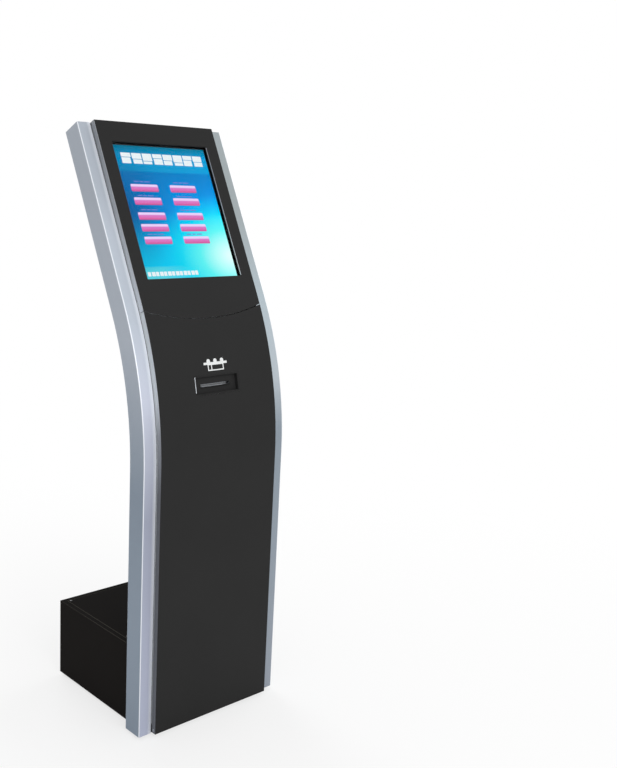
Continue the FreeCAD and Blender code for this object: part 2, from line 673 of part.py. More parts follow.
def base_box():
    """The box behind the column, with a rim and ledge for its lid."""
    body = new_body("base_box")
    front = f"({FRONT} + side_depth)"
    side = "box_width / 2"
    block = draw_on(body, "box_block", "XY_Plane", FLOOR_TOP)
    rectangle(block, (minus(side), side), (front, REAR))
    pad(body, block, f"{BOX_TOP} - {FLOOR_TOP}")
    room = draw_on(body, "box_room", "XY_Plane", FLOOR_TOP)
    rectangle(room, (f"sheet_metal - {side}", f"{side} - sheet_metal"),
              (f"{front} - 1", f"{REAR} - sheet_metal"))
    pocket(body, room, f"{BOX_TOP} - {FLOOR_TOP} - 2 * sheet_metal")
    x, y = lid_range()
    below = draw_on(body, "ledge_opening", "XY_Plane", f"{BOX_TOP} - 4 * sheet_metal")
    rectangle(below, (f"{x[0]} + ledge_width", f"{x[1]} - ledge_width"),
              (f"{y[0]} + ledge_width", f"{y[1]} - ledge_width"))
    pocket(body, below, "5 * sheet_metal")
    seat = draw_on(body, "lid_seat", "XY_Plane", f"{BOX_TOP} - sheet_metal")
    rectangle(seat, (f"{x[0]} - lid_gap", f"{x[1]} + lid_gap"),
              (f"{y[0]} - lid_gap", f"{y[1]} + lid_gap"))
    pocket(body, seat, "2 * sheet_metal")
    passage = draw_on(body, "cable_passage", "XY_Plane", f"{BOX_TOP} - 4 * sheet_metal")
    rectangle(passage, ("30 - bulge_width / 2", "bulge_width / 2 - 30"),
              (f"{front} - 1", f"{FRONT} + {SHELL_BACK} - 8"))
    pocket(body, passage, "5 * sheet_metal")
    wall = draw_on(body, "rear_wall_holes", "XZ_Plane", f"-({REAR}) - 1")
    rectangle(wall, inlet_range()[0], inlet_range()[1])
    rectangle(wall, switch_range()[0], switch_range()[1])
    rectangle(wall, socket_range()[0], socket_range()[1])
    for i in range(6):
        z = f"fan_up - fan_size / 2 + {i + 1} * fan_size / 7"
        rectangle(wall, ("fan_place - fan_size * 0.36", "fan_place + fan_size * 0.36"),
                  (f"{z} - 3", f"{z} + 3"))
    pocket(body, wall, "sheet_metal + 2")
    keep("base_box", body)


def lid_range():
    side = "(box_width / 2 - rim_width)"
    return ((f"-{side}", side), (f"({FRONT} + lid_front)", f"({REAR} - rim_width)"))


def base_box_lid():
    x, y = lid_range()
    z = (f"{BOX_TOP} - sheet_metal", BOX_TOP)
    keep("base_box_lid", box("lid_sheet", x, y, z))
    screws = []
    for i, (a, b) in enumerate([(x[0], y[0]), (x[1], y[0]), (x[1], y[1]), (x[0], y[1])]):
        dx = "screw_inset / 2" if i in (0, 3) else "-screw_inset / 2"
        dy = "screw_inset / 2" if i in (0, 1) else "-screw_inset / 2"
        screws.append(rod(f"lid_screw_{i}", "z", (f"{a} + {dx}", f"{b} + {dy}"),
                          "screw_radius", BOX_TOP, f"{BOX_TOP} + screw_head"))
    keep("lid_screws", set_of("lid_screws", screws))


def inlet_range():
    return ("-150 - 14", "-150 + 14"), ("socket_up - 10", "socket_up + 10")


def switch_range():
    return (("-100 - rocker_width", "-100 + rocker_width"),
            ("socket_up - rocker_height / 2 - 3", "socket_up + rocker_height / 2 + 3"))


def socket_range():
    return ("-55 - 8", "-55 + 8"), ("socket_up - 7", "socket_up + 7")


def rear_sockets():
    """Mains inlet, switch frame and network socket in the rear wall of the box."""
    inside = f"{REAR} - 22"
    outside = f"{REAR} + 2"

    def plug(name, ranges, rim):
        (x0, x1), (z0, z1) = ranges
        core = box(name + "_core", (f"{x0} + seat_gap", f"{x1} - seat_gap"),
                   (inside, outside), (f"{z0} + seat_gap", f"{z1} - seat_gap"))
        flange = box(name + "_flange", (f"{x0} - {rim}", f"{x1} + {rim}"),
                     (REAR, outside), (f"{z0} - {rim}", f"{z1} + {rim}"))
        return joined(name + "_solid", [core, flange])

    def well(name, x, z, depth):
        return box(name, x, (f"{outside} - {depth}", f"{outside} + 1"), z)

    inlet = plug("inlet", inlet_range(), "3")
    hole = well("inlet_well", ("-150 - 11.5", "-150 + 11.5"),
                ("socket_up - 8", "socket_up + 8"), "18")
    stubs = [box(f"inlet_stub_{i}", (f"-151 + {7 * (i - 1)}", f"-149 + {7 * (i - 1)}"),
                 (f"{outside} - 19", f"{outside} - 7"),
                 (f"socket_up - 3 + {3 * (i % 2)}", f"socket_up + 1 + {3 * (i % 2)}"))
             for i in range(3)]
    shell = cut("power_inlet_body", inlet, hole)
    keep("power_inlet", joined("power_inlet", [shell, *stubs]))
    frame = plug("switch", switch_range(), "2")
    room = well("switch_well", ("-100 - rocker_width + 2", "-100 + rocker_width - 2"),
                ("socket_up - rocker_height / 2 - 1.6",
                 "socket_up + rocker_height / 2 + 1.6"), "14")
    keep("switch_housing", cut("switch_housing", frame, room))
    net = plug("network", socket_range(), "1.5")
    room = well("network_well", ("-55 - 6", "-55 + 6"), ("socket_up - 5", "socket_up + 4"),
                "16")
    keep("network_socket", cut("network_socket", net, room))


def rocker():
    """The mains rocker, tipped about a level axis in its frame."""
    body = new_body("switch_rocker")
    width = "(rocker_width - 2 - 0.5)"
    sketch = draw_on(body, "rocker_outline", "YZ_Plane", f"-100 - {width}")
    tall = "(rocker_height / 2)"
    y = f"({REAR} - 2)"
    up = "socket_up"
    outline(sketch, [(f"{y} + 3", f"{up} - {tall}"), (f"{y} + 5", f"{up} + {tall}"),
                     (f"{y} - 3", f"{up} + {tall}"), (f"{y} - 6", f"{up}"),
                     (f"{y} - 5", f"{up} - {tall}")])
    pad(body, sketch, f"2 * {width}")
    keep("switch_rocker", body)


def computer():
    """The small computer on the base plate, its power button and the supply."""
    x = ("-pc_width - 10", "-10")
    y = (f"{REAR} - pc_rear - pc_depth", f"{REAR} - pc_rear")
    z = (FLOOR_TOP, f"{FLOOR_TOP} + pc_height")
    case = box("pc_block", x, y, z)
    centre = (f"{x[1]} - 24", f"{y[0]} + 20")
    bore = rod("pc_button_bore", "z", centre, "power_button + 0.3", f"{z[1]} - 8",
               f"{z[1]} + 1")
    keep("pc_case", cut("pc_case", case, bore))
    keep("pc_power_button", rod("pc_power_button", "z", centre, "power_button",
                                f"{z[1]} - 6", f"{z[1]} + 2"))
    x = ("20", "20 + supply_width")
    y = (f"{REAR} - supply_rear - supply_depth", f"{REAR} - supply_rear")
    z = (FLOOR_TOP, f"{FLOOR_TOP} + supply_height")
    keep("power_supply", box("power_supply", x, y, z))


def fan():
    """The fan behind the slots in the rear wall: frame and seven bladed rotor."""
    back = f"({REAR} - sheet_metal)"
    front = f"({back} - fan_depth)"
    h = "fan_size / 2"
    outer = box("fan_block", (f"fan_place - {h}", f"fan_place + {h}"), (front, back),
                (f"fan_up - {h}", f"fan_up + {h}"))
    bore = rod("fan_bore", "y", ("fan_place", "fan_up"), "fan_blade + 2.5",
               f"{front} - 1", f"{back} + 1")
    ring_shape = cut("fan_ring", outer, bore)
    bars = []
    for i, (x, z) in enumerate([(h, "2"), ("2", h)]):
        bars.append(box(f"fan_bar_{i}", (f"fan_place - {x}", f"fan_place + {x}"),
                        (f"{back} - 3", back), (f"fan_up - {z}", f"fan_up + {z}")))
    hub = rod("fan_seat", "y", ("fan_place", "fan_up"), "fan_hub - 1", f"{back} - 5", back)
    keep("fan_frame", joined("fan_frame", [ring_shape, hub, *bars]))
    body = new_body("fan_rotor")
    disc = draw_on(body, "hub_disc", "XZ_Plane")
    ring(disc, "0", "0", "fan_hub")
    pad(body, disc, "fan_depth - 8")
    blade = draw_on(body, "blade_outline", "XZ_Plane", "1.6")
    rectangle(blade, ("-6", "6"), ("fan_hub - 2", "fan_blade"))
    feature = pad(body, blade, "fan_depth - 12")
    doc.recompute()
    pattern = body.newObject("PartDesign::PolarPattern", "fan_blade_set")
    pattern.Originals = [feature]
    pattern.Axis = (disc, ["N_Axis"])
    bind(pattern, Occurrences="fan_blades")
    body.Tip = pattern
    bind(body, Placement__Base__x="fan_place", Placement__Base__y=f"{back} - 5.4",
         Placement__Base__z="fan_up")
    keep("fan_rotor", body)


def door_hinge():
    """Two arms on the base plate and the pins that the door turns on."""
    axis = (f"{FRONT} - hinge_out", "foot_height + hinge_up")
    back = f"{FRONT} + arm_length"
    step = f"{FRONT} + plate_back + 1.5"
    arms = []
    pins = []
    for side, x0 in (("left", minus(DOOR_ARM)), ("right", f"{DOOR_ARM} - hinge_arm")):
        body = new_body(f"arm_{side}")
        sketch = draw_on(body, f"arm_{side}_outline", "YZ_Plane", x0)
        outline(sketch, [(axis[0], f"{axis[1]} - knuckle_radius"),
                         (step, f"{axis[1]} - knuckle_radius"), (step, FLOOR_TOP),
                         (back, FLOOR_TOP), (back, f"{axis[1]} + arm_length / 2"),
                         (f"{back} - 8", f"{axis[1]} + arm_length / 2"),
                         (axis[0], f"{axis[1]} + knuckle_radius")])
        pad(body, sketch, "hinge_arm")
        knuckle = rod(f"knuckle_{side}", "x", axis, "knuckle_radius", x0,
                      f"{x0} + hinge_arm")
        eye = rod(f"eye_{side}", "x", axis, "pin_radius", f"{x0} - 1",
                  f"{x0} + hinge_arm + 1")
        arms.append(cut(f"hinge_arm_{side}", joined(f"arm_solid_{side}",
                                                    [body, knuckle]), eye))
    reach = f"({DOOR_ARM} - hinge_arm - 2)"
    pins.append(rod("pin_left", "x", axis, "pin_radius", minus(PANEL), minus(reach)))
    pins.append(rod("pin_right", "x", axis, "pin_radius", reach, PANEL))
    keep("hinge_arms", set_of("hinge_arms", arms))
    keep("hinge_pins", set_of("hinge_pins", pins))


def door_lock():
    """Cam lock through the right profile and the strike inside the door."""
    axis = (f"({FRONT} + lock_back)", "(foot_height + lock_height)")
    cam_out = f"({INNER} - cam_inset)"
    cam_in = f"({cam_out} - cam_thick)"
    face = "overall_width / 2"
    barrel = rod("barrel_tube", "x", axis, "barrel_radius", f"{cam_out} + lock_gap",
                 f"{face} - side_wall")
    head = rod("barrel_face", "x", axis, "barrel_head", f"{face} - side_wall", face)
    nut = rod("barrel_nut", "x", axis, "barrel_head + 2", f"{INNER} - 4", INNER)
    key = box("key_slit", (f"{face} - 2", f"{face} + 1"),
              (f"{axis[0]} - 1", f"{axis[0]} + 1"), (f"{axis[1]} - 4", f"{axis[1]} + 4"))
    keep("lock_barrel", cut("lock_barrel", joined("barrel_solid", [barrel, head, nut]),
                            key))
    hub = rod("cam_hub", "x", axis, "cam_width / 2 + 1", cam_in, cam_out)
    arm = box("cam_arm", (cam_in, cam_out), (f"{axis[0]} - cam_length", axis[0]),
              (f"{axis[1]} - cam_width / 2", f"{axis[1]} + cam_width / 2"))
    keep("lock_cam", joined("lock_cam", [hub, arm]))
    web = f"({cam_in} - 10)"
    lip_back = f"({axis[0]} + cam_width / 2 + 2 + strike_thick)"
    z = (f"{axis[1]} + cam_width / 2 + 7", f"{axis[1]} + cam_width / 2 + 7 + strike_width")
    inside = f"({FRONT} - panel_out + skin)"
    parts = [
        box("strike_foot", (f"{web} - 20", web), (inside, f"{inside} + strike_thick"), z),
        box("strike_web", (web, f"{web} + strike_thick"), (inside, lip_back), z),
        box("strike_lip", (web, f"{cam_out} + 3"),
            (f"{lip_back} - strike_thick", lip_back), z),
    ]
    keep("lock_strike", joined("lock_strike", parts))


ROLL_Z = "(-roll_drop)"
IDLER_UP = "(platen_up - (platen_teeth + idler_teeth) / 2 * gear_module)"
PINION_UP = f"({IDLER_UP} - (idler_teeth + pinion_teeth) / 2 * gear_module)"
CHASSIS_OUT = "(chassis_half + chassis_thick)"
CHASSIS_LOW = f"({PINION_UP} - motor_size / 2 - 0.7)"
GEAR_X = (f"-({CHASSIS_OUT} + gear_side + gear_thick)", f"-({CHASSIS_OUT} + gear_side)")
SHAFT = ("platen_back", "platen_up")


def printer_frame():
    """The bracket between the profiles and the printer's own side plates."""
    back = "(-bracket_back - bracket_thick)"
    z = ("(-roll_drop - roll_radius - bracket_rim)", "bracket_top")
    plate = slab("bracket_plate", (minus(INNER), INNER), (back, "-bracket_back"), z)
    window = slab("bracket_window", ("1.5 - chassis_half + bracket_thick - 0.5",
                                     "chassis_half - 1.5 - bracket_thick + 0.5"),
                  (f"{back} - 1", "1 - bracket_back"),
                  ("(-roll_drop - roll_radius - window_room)",
                   "(window_room + roll_radius - roll_drop)"))
    flanges = [slab("bracket_left", (minus(INNER), f"bracket_thick - {INNER}"),
                    ("-bracket_back - bracket_fold", "-bracket_back"), z),
               slab("bracket_right", (f"{INNER} - bracket_thick", INNER),
                    ("-bracket_back - bracket_fold", "-bracket_back"), z)]
    keep("printer_bracket", joined("printer_bracket",
                                   [cut("bracket_open", plate, window), *flanges]),
         at_outlet)
    high = "(platen_up + 16)"
    parts = [slab("chassis_floor", ("-chassis_half", "chassis_half"), ("-25", "-2"),
                  (f"{CHASSIS_LOW} - chassis_thick", CHASSIS_LOW))]
    for name, x in (("left", (f"-{CHASSIS_OUT}", "-chassis_half")),
                    ("right", ("chassis_half", CHASSIS_OUT))):
        parts.append(slab(f"chassis_{name}", x, ("-bracket_back", "-1"),
                          (f"{CHASSIS_LOW} - chassis_thick", high)))
    bores = [rod("platen_bore", "x", SHAFT, "shaft_radius + pin_fit",
                 f"-{CHASSIS_OUT} - 1", f"{CHASSIS_OUT} + 1"),
             rod("pinion_bore", "x", ("platen_back", PINION_UP), "1.5 + pin_fit",
                 f"-{CHASSIS_OUT} - 1", "-chassis_half + 0.5")]
    posts = [rod("idler_post", "x", ("platen_back", IDLER_UP), "2",
                 f"{GEAR_X[0]} - 1", f"-{CHASSIS_OUT}"),
             rod("lever_post", "x", ("20", "platen_up + 6"), "lever_pin", CHASSIS_OUT,
                 f"{CHASSIS_OUT} + lever_thick + 2")]
    keep("printer_chassis", joined("printer_chassis",
                                   [cut("chassis_plates", joined("chassis_solid", parts),
                                        *bores), *posts]), at_outlet)


def printing_parts():
    """Print head, blades and stepper motor between the side plates."""
    x = ("-chassis_half", "chassis_half")
    top = "-seat_gap"
    depth = ("head_depth / 2 - platen_back", "-platen_back - head_depth / 2")
    keep("print_head", slab("print_head", x, (depth[1], depth[0]),
                            (f"{top} - head_thick", top)), at_outlet)
    keep("fixed_blade", slab("fixed_blade", x, ("-4 - blade_thick", "-4"),
                             ("-10 - seat_gap", "-seat_gap - 0.1")), at_outlet)
    x = ("0.5 - chassis_half", "chassis_half - 0.5")
    keep("cutter_blade", slab("cutter_blade", x, ("-4 + seat_gap",
                                                  "-4 + seat_gap + cutter_thick"),
                              ("cutter_rise", "cutter_rise + cutter_height")), at_outlet)
    reach = "motor_size / 2"
    keep("stepper_motor", slab("stepper_motor", ("-chassis_half",
                                                 "motor_length - chassis_half"),
                               (f"-platen_back - {reach}", f"{reach} - platen_back"),
                               (f"{PINION_UP} - {reach}", f"{PINION_UP} + {reach}")),
         at_outlet)


def platen():
    roller = rod("platen_rubber", "x", SHAFT, "platen_radius", "4 - chassis_half",
                 "chassis_half - 4")
    shaft = rod("platen_shaft", "x", SHAFT, "shaft_radius", GEAR_X[0],
                f"{CHASSIS_OUT} + 0.6")
    keep("platen_roller", joined("platen_roller", [roller, shaft]), at_outlet)


def gear(name, teeth_name, up, bore, first, shaft_end=None):
    """A spur gear with involute teeth and a little play, bored or with a shaft."""
    teeth = int(round(number(teeth_name)))
    module = number("gear_module")
    pitch = teeth * module / 2
    base = pitch * math.cos(math.radians(20))
    top = pitch + module
    root = pitch - 1.25 * module
    play = 0.05 * module / pitch
    turn = math.tan(math.radians(20)) - math.radians(20)
    flank = []
    for step in range(5):
        radius = max(base, root) + (top - max(base, root)) * step / 4
        angle = math.acos(min(1, base / radius))
        spread = math.pi / (2 * teeth) + turn - (math.tan(angle) - angle) - play
        flank.append((radius, spread))
    side = ([(root, flank[0][1])] if root < base else []) + flank
    points = []
    for tooth in range(teeth):
        middle = first + tooth * 2 * math.pi / teeth
        points += [(radius, middle - spread) for radius, spread in side]
        points += [(radius, middle + spread) for radius, spread in reversed(side)]
    x0, x1 = (number(end) for end in GEAR_X)
    y, z = number("platen_back"), number(up)
    shown = [FreeCAD.Vector(x0, y + r * math.cos(a), z + r * math.sin(a))
             for r, a in points]
    face = Part.Face(Part.makePolygon(shown + shown[:1]))
    solid = face.extrude(FreeCAD.Vector(x1 - x0, 0, 0))
    along = FreeCAD.Vector(1, 0, 0)
    if shaft_end:
        start = FreeCAD.Vector(x0, y, z)
        solid = solid.fuse(Part.makeCylinder(number(bore), number(shaft_end) - x0,
                                             start, along)).removeSplitter()
    else:
        start = FreeCAD.Vector(x0 - 1, y, z)
        solid = solid.cut(Part.makeCylinder(number(bore), x1 - x0 + 2, start, along))
    thing = doc.addObject("Part::Feature", name)
    thing.Shape = solid
    keep(name, thing, at_outlet)


def gears():
    """The train from motor to platen; teeth meet gaps on the line of centres."""
    teeth = number("idler_teeth")
    gear("platen_gear", "platen_teeth", "platen_up", "shaft_radius", -math.pi / 2)
    gear("idler_gear", "idler_teeth", IDLER_UP, "2 + pin_fit",
         math.pi / 2 + math.pi / teeth)
    gear("motor_pinion", "pinion_teeth", PINION_UP, "1.5", math.pi / 2,
         "-chassis_half - 0.3")


def paper():
    """The paper roll on its core, the spindle with two arms, and the loose web."""
    centre = ("roll_back", ROLL_Z)
    wide = "paper_width / 2"
    roll = rod("roll_disc", "x", centre, "roll_radius", f"-{wide}", wide)
    hole = rod("roll_hole", "x", centre, "core_radius", f"-{wide} - 1", f"{wide} + 1")
    keep("paper_roll", cut("paper_roll", roll, hole), at_outlet)
    tube = rod("core_tube", "x", centre, "core_radius", f"-{wide} - 0.5",
               f"{wide} + 0.5")
    bore = rod("core_bore", "x", centre, "spindle_radius + spindle_fit",
               f"-{wide} - 2", f"{wide} + 2")
    keep("roll_core", cut("roll_core", tube, bore), at_outlet)
    end = "(chassis_half - 0.3)"
    keep("roll_spindle", rod("roll_spindle", "x", centre, "spindle_radius", f"-{end}",
                             end), at_outlet)
    arms = []
    for name, x in (("left", (f"-{end}", f"bracket_thick - {end}")),
                    ("right", (f"{end} - bracket_thick", end))):
        arm = slab(f"roll_arm_{name}", x, ("-roll_back - 12",
                                           "-bracket_back - bracket_thick"),
                   (f"{ROLL_Z} - 12", f"{ROLL_Z} + 12"))
        eye = rod(f"roll_eye_{name}", "x", centre, "spindle_radius", f"-{end} - 1",
                  f"{end} + 1")
        arms.append(cut(f"roll_arm_cut_{name}", arm, eye))
    keep("roll_arms", set_of("roll_arms", arms), at_outlet)
    thick = number("paper_thick")
    y = number("roll_back - roll_radius") - 0.3
    top = number("paper_thick + 0.05")
    bend = 2.5
    end_y = number("4 + blade_thick + 1")

    def spot(a, b):
        return FreeCAD.Vector(-number(wide) + 0.5, a, b)

    def corner(radius):
        low = spot(y - bend - thick + radius, top - bend - thick)
        high = spot(y - bend - thick, top - bend - thick + radius)
        diagonal = radius * math.sqrt(0.5)
        middle = spot(y - bend - thick + diagonal, top - bend - thick + diagonal)
        return Part.Arc(low, middle, high).toShape(), low, high

    outer, a_low, a_high = corner(bend + thick)
    inner, b_low, b_high = corner(bend)
    start = number(ROLL_Z) + 6
    a_start, b_start = spot(a_low.y, start), spot(b_low.y, start)
    a_end, b_end = spot(end_y, a_high.z), spot(end_y, b_high.z)
    edges = [Part.makeLine(a_start, a_low), outer, Part.makeLine(a_high, a_end),
             Part.makeLine(a_end, b_end), Part.makeLine(b_end, b_high), inner,
             Part.makeLine(b_low, b_start), Part.makeLine(b_start, a_start)]
    face = Part.Face(Part.Wire(Part.__sortEdges__(edges)))
    web = doc.addObject("Part::Feature", "paper_web")
    web.Shape = face.extrude(FreeCAD.Vector(2 * number(wide) - 1, 0, 0))
    keep("paper_web", web, at_outlet)


def printer_controls():
    """The release lever at the side and the paper feed button on its board."""
    x = (f"({CHASSIS_OUT} + 0.3)", f"({CHASSIS_OUT} + 0.3 + lever_thick)")
    pivot = ("20", "platen_up + 6")
    hub = rod("lever_hub", "x", pivot, "lever_pin + 3", x[0], x[1])
    arm = box("lever_arm", x, ("17", "23"), (pivot[1], f"{pivot[1]} + lever_length"))
    tab = box("lever_tab", (x[0], f"{x[1]} + 7"), ("17", "23"),
              (f"{pivot[1]} + lever_length - 6", f"{pivot[1]} + lever_length"))
    eye = rod("lever_eye", "x", pivot, "lever_pin + pin_fit", f"{x[0]} - 1",
              f"{x[1]} + 1")
    keep("release_lever", cut("release_lever", joined("lever_solid", [hub, arm, tab]),
                              eye), at_outlet)
    face = "(board_thick - bracket_back)"
    left = f"{CHASSIS_OUT} + board_gap"
    x = (left, f"{left} + board_width")
    keep("printer_board", slab("printer_board", x, ("-bracket_back", face),
                               ("-board_height / 3", "board_height * 2 / 3")), at_outlet)
    middle = f"({left} + board_width / 2 + 4)"
    side = "button_radius + 4"
    up = "board_height / 3"
    block = slab("button_block", (f"{middle} - ({side})", f"{middle} + {side}"),
                 (face, f"{face} + 4"), (f"{up} - ({side})", f"{up} + {side}"))
    bore = rod("button_bore", "y", (middle, up), "button_radius + 0.3",
               f"-({face}) - 5", f"-({face}) - 0.6")
    keep("button_housing", cut("button_housing", block, bore), at_outlet)
    keep("feed_button", rod("feed_button", "y", (middle, up), "button_radius",
                            f"-({face}) - 8", f"-({face}) - 1 - button_travel"),
         at_outlet)


def speaker():
    z = f"{KNEE} - rail_size / 2"
    rail = f"{FRONT} + side_depth - rail_size - side_wall"
    keep("speaker", rod("speaker", "y", ("0", z), "25", f"{rail} - 20", rail))


side_profile("left_side_profile", -1)
side_profile("right_side_profile", 1)
profile_caps()
base_plate()
feet()
cross_rails()
screen()
head_panel()
front_door()
outlet_bezel()
ticket_symbol()
rear_shell()
top_cap()
base_box()
base_box_lid()
rear_sockets()
rocker()
computer()
fan()
door_hinge()
door_lock()
printer_frame()
printing_parts()
platen()
gears()
paper()
printer_controls()
speaker()
doc.recompute()

for thing in doc.Objects:
    if "Invalid" in thing.State or "Error" in thing.State:
        raise RuntimeError(f"{thing.Name} failed: {thing.State}")
for thing in pieces:
    if thing.Shape.isNull() or not thing.Shape.isValid() or not thing.Shape.Solids:
        raise RuntimeError(f"{thing.Label} has no good shape")

os.makedirs("parts", exist_ok=True)
for thing in pieces:
    thing.Shape.exportStep(f"parts/{thing.Label}.step")
print(len(pieces), "sub-parts written")
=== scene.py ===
import json
import math

import bpy
from bpy.props import FloatProperty, FloatVectorProperty, IntProperty, PointerProperty
from bpy.types import Operator, Panel, PropertyGroup
from mathutils import Matrix, Vector

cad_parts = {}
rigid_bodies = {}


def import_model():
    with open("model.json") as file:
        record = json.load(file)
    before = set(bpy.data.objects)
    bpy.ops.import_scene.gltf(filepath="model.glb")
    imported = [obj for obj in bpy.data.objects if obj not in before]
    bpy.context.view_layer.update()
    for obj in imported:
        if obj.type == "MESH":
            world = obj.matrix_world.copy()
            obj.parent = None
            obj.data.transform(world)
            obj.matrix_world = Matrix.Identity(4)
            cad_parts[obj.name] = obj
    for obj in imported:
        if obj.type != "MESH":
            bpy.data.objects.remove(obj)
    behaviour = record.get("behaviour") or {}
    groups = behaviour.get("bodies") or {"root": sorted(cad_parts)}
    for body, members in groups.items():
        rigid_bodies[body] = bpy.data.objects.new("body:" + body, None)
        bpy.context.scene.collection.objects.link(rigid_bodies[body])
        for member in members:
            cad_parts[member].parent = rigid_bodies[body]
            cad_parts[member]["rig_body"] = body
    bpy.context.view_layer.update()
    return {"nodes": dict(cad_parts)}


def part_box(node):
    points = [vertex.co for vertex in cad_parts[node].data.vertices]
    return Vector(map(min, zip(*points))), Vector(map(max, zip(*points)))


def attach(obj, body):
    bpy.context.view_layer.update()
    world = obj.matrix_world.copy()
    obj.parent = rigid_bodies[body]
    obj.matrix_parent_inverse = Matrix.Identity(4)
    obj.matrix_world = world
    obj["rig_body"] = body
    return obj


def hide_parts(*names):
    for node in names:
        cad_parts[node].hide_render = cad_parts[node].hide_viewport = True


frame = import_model()
NODES = frame["nodes"]

bl_info = {"name": "Queue ticket kiosk", "version": (1, 0, 0), "blender": (4, 5, 0),
           "location": "View3D > Sidebar > Kiosk",
           "description": "Finishes a standing queue ticket kiosk over its solid model",
           "category": "Object"}

MM = 0.001

# The side profiles follow one path up the front: straight, a bend, and a tilted head.
PATH_FRONT = -192.5 * MM
PATH_FLOOR = 8 * MM
STRAIGHT = 642 * MM
BEND = 830 * MM
TILT = math.radians(27.2)
HEAD_FOOT = STRAIGHT + BEND * TILT
HEAD_LENGTH = 432 * MM
PATH_END = HEAD_LENGTH + HEAD_FOOT
OUTLET_UP = 830 * MM
# the height over which some finishes change their colour
HEIGHT = 1420 * MM


def path_frame(along):
    """Local axes on the path: X across, Y into the kiosk, Z up along the surface."""
    turn = min(max((along - STRAIGHT) / BEND, 0.0), TILT)
    y = PATH_FRONT + BEND * (1 - math.cos(turn))
    z = min(along, STRAIGHT) + PATH_FLOOR + BEND * math.sin(turn)
    beyond = max(along - HEAD_FOOT, 0.0)
    return (Matrix.Translation((0, y, z)) @ Matrix.Rotation(-turn, 4, "X")
            @ Matrix.Translation((0, 0, beyond)))


HEAD = path_frame(HEAD_FOOT)
OUTLET = path_frame(OUTLET_UP)


def mm(*values):
    """Turns millimetres to metres."""
    return tuple(v * MM for v in values)


def corners(node):
    """A node's lowest and highest corners."""
    return (Vector(v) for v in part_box(node))


def linear(code):
    """Turns an sRGB hex colour into the linear values that shaders take."""
    values = [int(code[i:i + 2], 16) / 255 for i in (1, 3, 5)]
    return tuple(v / 12.92 if v <= 0.04045 else ((v + 0.055) / 1.055) ** 2.4 for v in values)


def colour(name, text, code):
    return FloatVectorProperty(name=name, description=text, subtype="COLOR", size=3, min=0, max=1,
                               default=linear(code))


def length(name, text, millimetres):
    return FloatProperty(name=name, description=text, subtype="DISTANCE", unit="LENGTH", min=0,
                         default=millimetres * MM)


class KioskSizes(PropertyGroup):
    """Sizes of what this file adds to the solid model."""
    edge: length("Sheet edge", "Rounding on the edges of painted sheet metal", 0.6)
    panel_edge: length("Panel edge", "Rounding on the edges of the front panels", 0.8)
    picture_width: length("Picture width", "Width of the lit picture", 266.6)
    picture_height: length("Picture height", "Height of the lit picture", 334.6)
    picture_middle: length("Picture middle", "Middle of the picture up the head", 216.4)
    picture_left: length("Picture shift", "Shift of the picture to the left", 1.8)
    picture_front: length("Picture front", "Distance of the picture from the path", 5.88)
    key_width: length("Key width", "Width of one touch key", 76)
    key_height: length("Key height", "Height of one touch key", 18.5)
    tooth_pitch: length("Tooth pitch", "Distance between teeth of the tear bar", 2)
    tooth_depth: length("Tooth depth", "Depth of the teeth of the tear bar", 0.9)
    blade_count: IntProperty(name="Fan blades", description="Blades on the fan rotor", min=3,
                             max=13, default=7)
    blade_thick: length("Blade thickness", "Thickness of a fan blade", 1.3)
    seal_width: length("Seal width", "Width of the seal beside each profile", 5)


class KioskColours(PropertyGroup):
    """Colours of the finishes."""
    # the silver stops paint light and shade up the profiles: palest where the column bends, as a
    # painted reflection, and darker low on the outer faces
    silver: colour("Silver", "Front faces of the side profiles", "#b9c1cc")
    silver_low: colour("Silver, low", "The same near the floor", "#a2a7b9")
    silver_bend_highlight: colour("Silver, bend", "The same where the column bends", "#c6cbda")
    silver_side: colour("Silver side", "Outer faces of the side profiles", "#b7bfca")
    silver_side_low: colour("Silver side, low", "The same near the floor", "#8895a4")
    # painted highlight on the rounded corners of the side profiles
    silver_corner_highlight: colour("Silver line", "Polished corners of the side profiles", "#eef2f8")
    # the lacquered edge is drawn paler just above the seam, a painted highlight
    silver_edge: colour("Silver edge", "Thin silver frame behind the head panel", "#a9adb3")
    silver_edge_lit: colour("Silver edge, lit", "The same just above the seam", "#d3d8de")
    panel: colour("Panel", "Black paint of door and head panel", "#2a2a2a")
    # painted highlight on the door's outward folded sides, palest where the column bends
    panel_side_highlight: colour("Panel side", "Folded sides of the door", "#6a6c71")
    panel_side_lit: colour("Panel side, lit", "The same where the column bends", "#cfd5da")
    box: colour("Box", "Dark paint of base box and rear shell", "#211f1e")
    # painted highlight along the folds of the base box
    box_edge_highlight: colour("Box edge", "Rubbed edges of the base box", "#5a5852")
    moulded: colour("Moulded black", "Black plastic parts", "#1d1d1f")
    polished: colour("Polished black", "Switch rocker", "#0d0e10")
    rubber: colour("Rubber", "Feet and drive roller", "#191919")
    zinc: colour("Zinc plate", "Plated steel inside", "#94989c")
    steel: colour("Steel", "Screws, lock, tear bar and blades", "#b6b9bc")
    brass: colour("Brass", "Motor pinion", "#c9a45a")
    ink: colour("Printed ink", "Sign over the outlet", "#e4e6e6")
    paper: colour("Paper", "Ticket roll", "#f0efe9")
    card: colour("Card", "Core of the ticket roll", "#a98a62")
    gear: colour("Gear", "White gears", "#e9e7df")
    lever: colour("Lever", "Release lever", "#2f9e62")
    button: colour("Button", "Service buttons", "#2a68b8")
    board: colour("Board", "Circuit board lacquer", "#1f6b3a")
    chip: colour("Chip", "Chips and connectors", "#18191b")
    key: colour("Key", "Body of a touch key", "#de62a6")
    key_light: colour("Key light", "Upper edge of a touch key", "#ecd2fa")
    title: colour("Title", "Blocks in the picture's header", "#f4fbff")
    caption: colour("Caption", "Small dashes by the keys", "#7f86dc")
    floor: colour("Floor", "Pale floor", "#f4f4f4")


def sizes():
    return bpy.context.scene.kiosk_sizes


def colours():
    return bpy.context.scene.kiosk_colours


# Materials

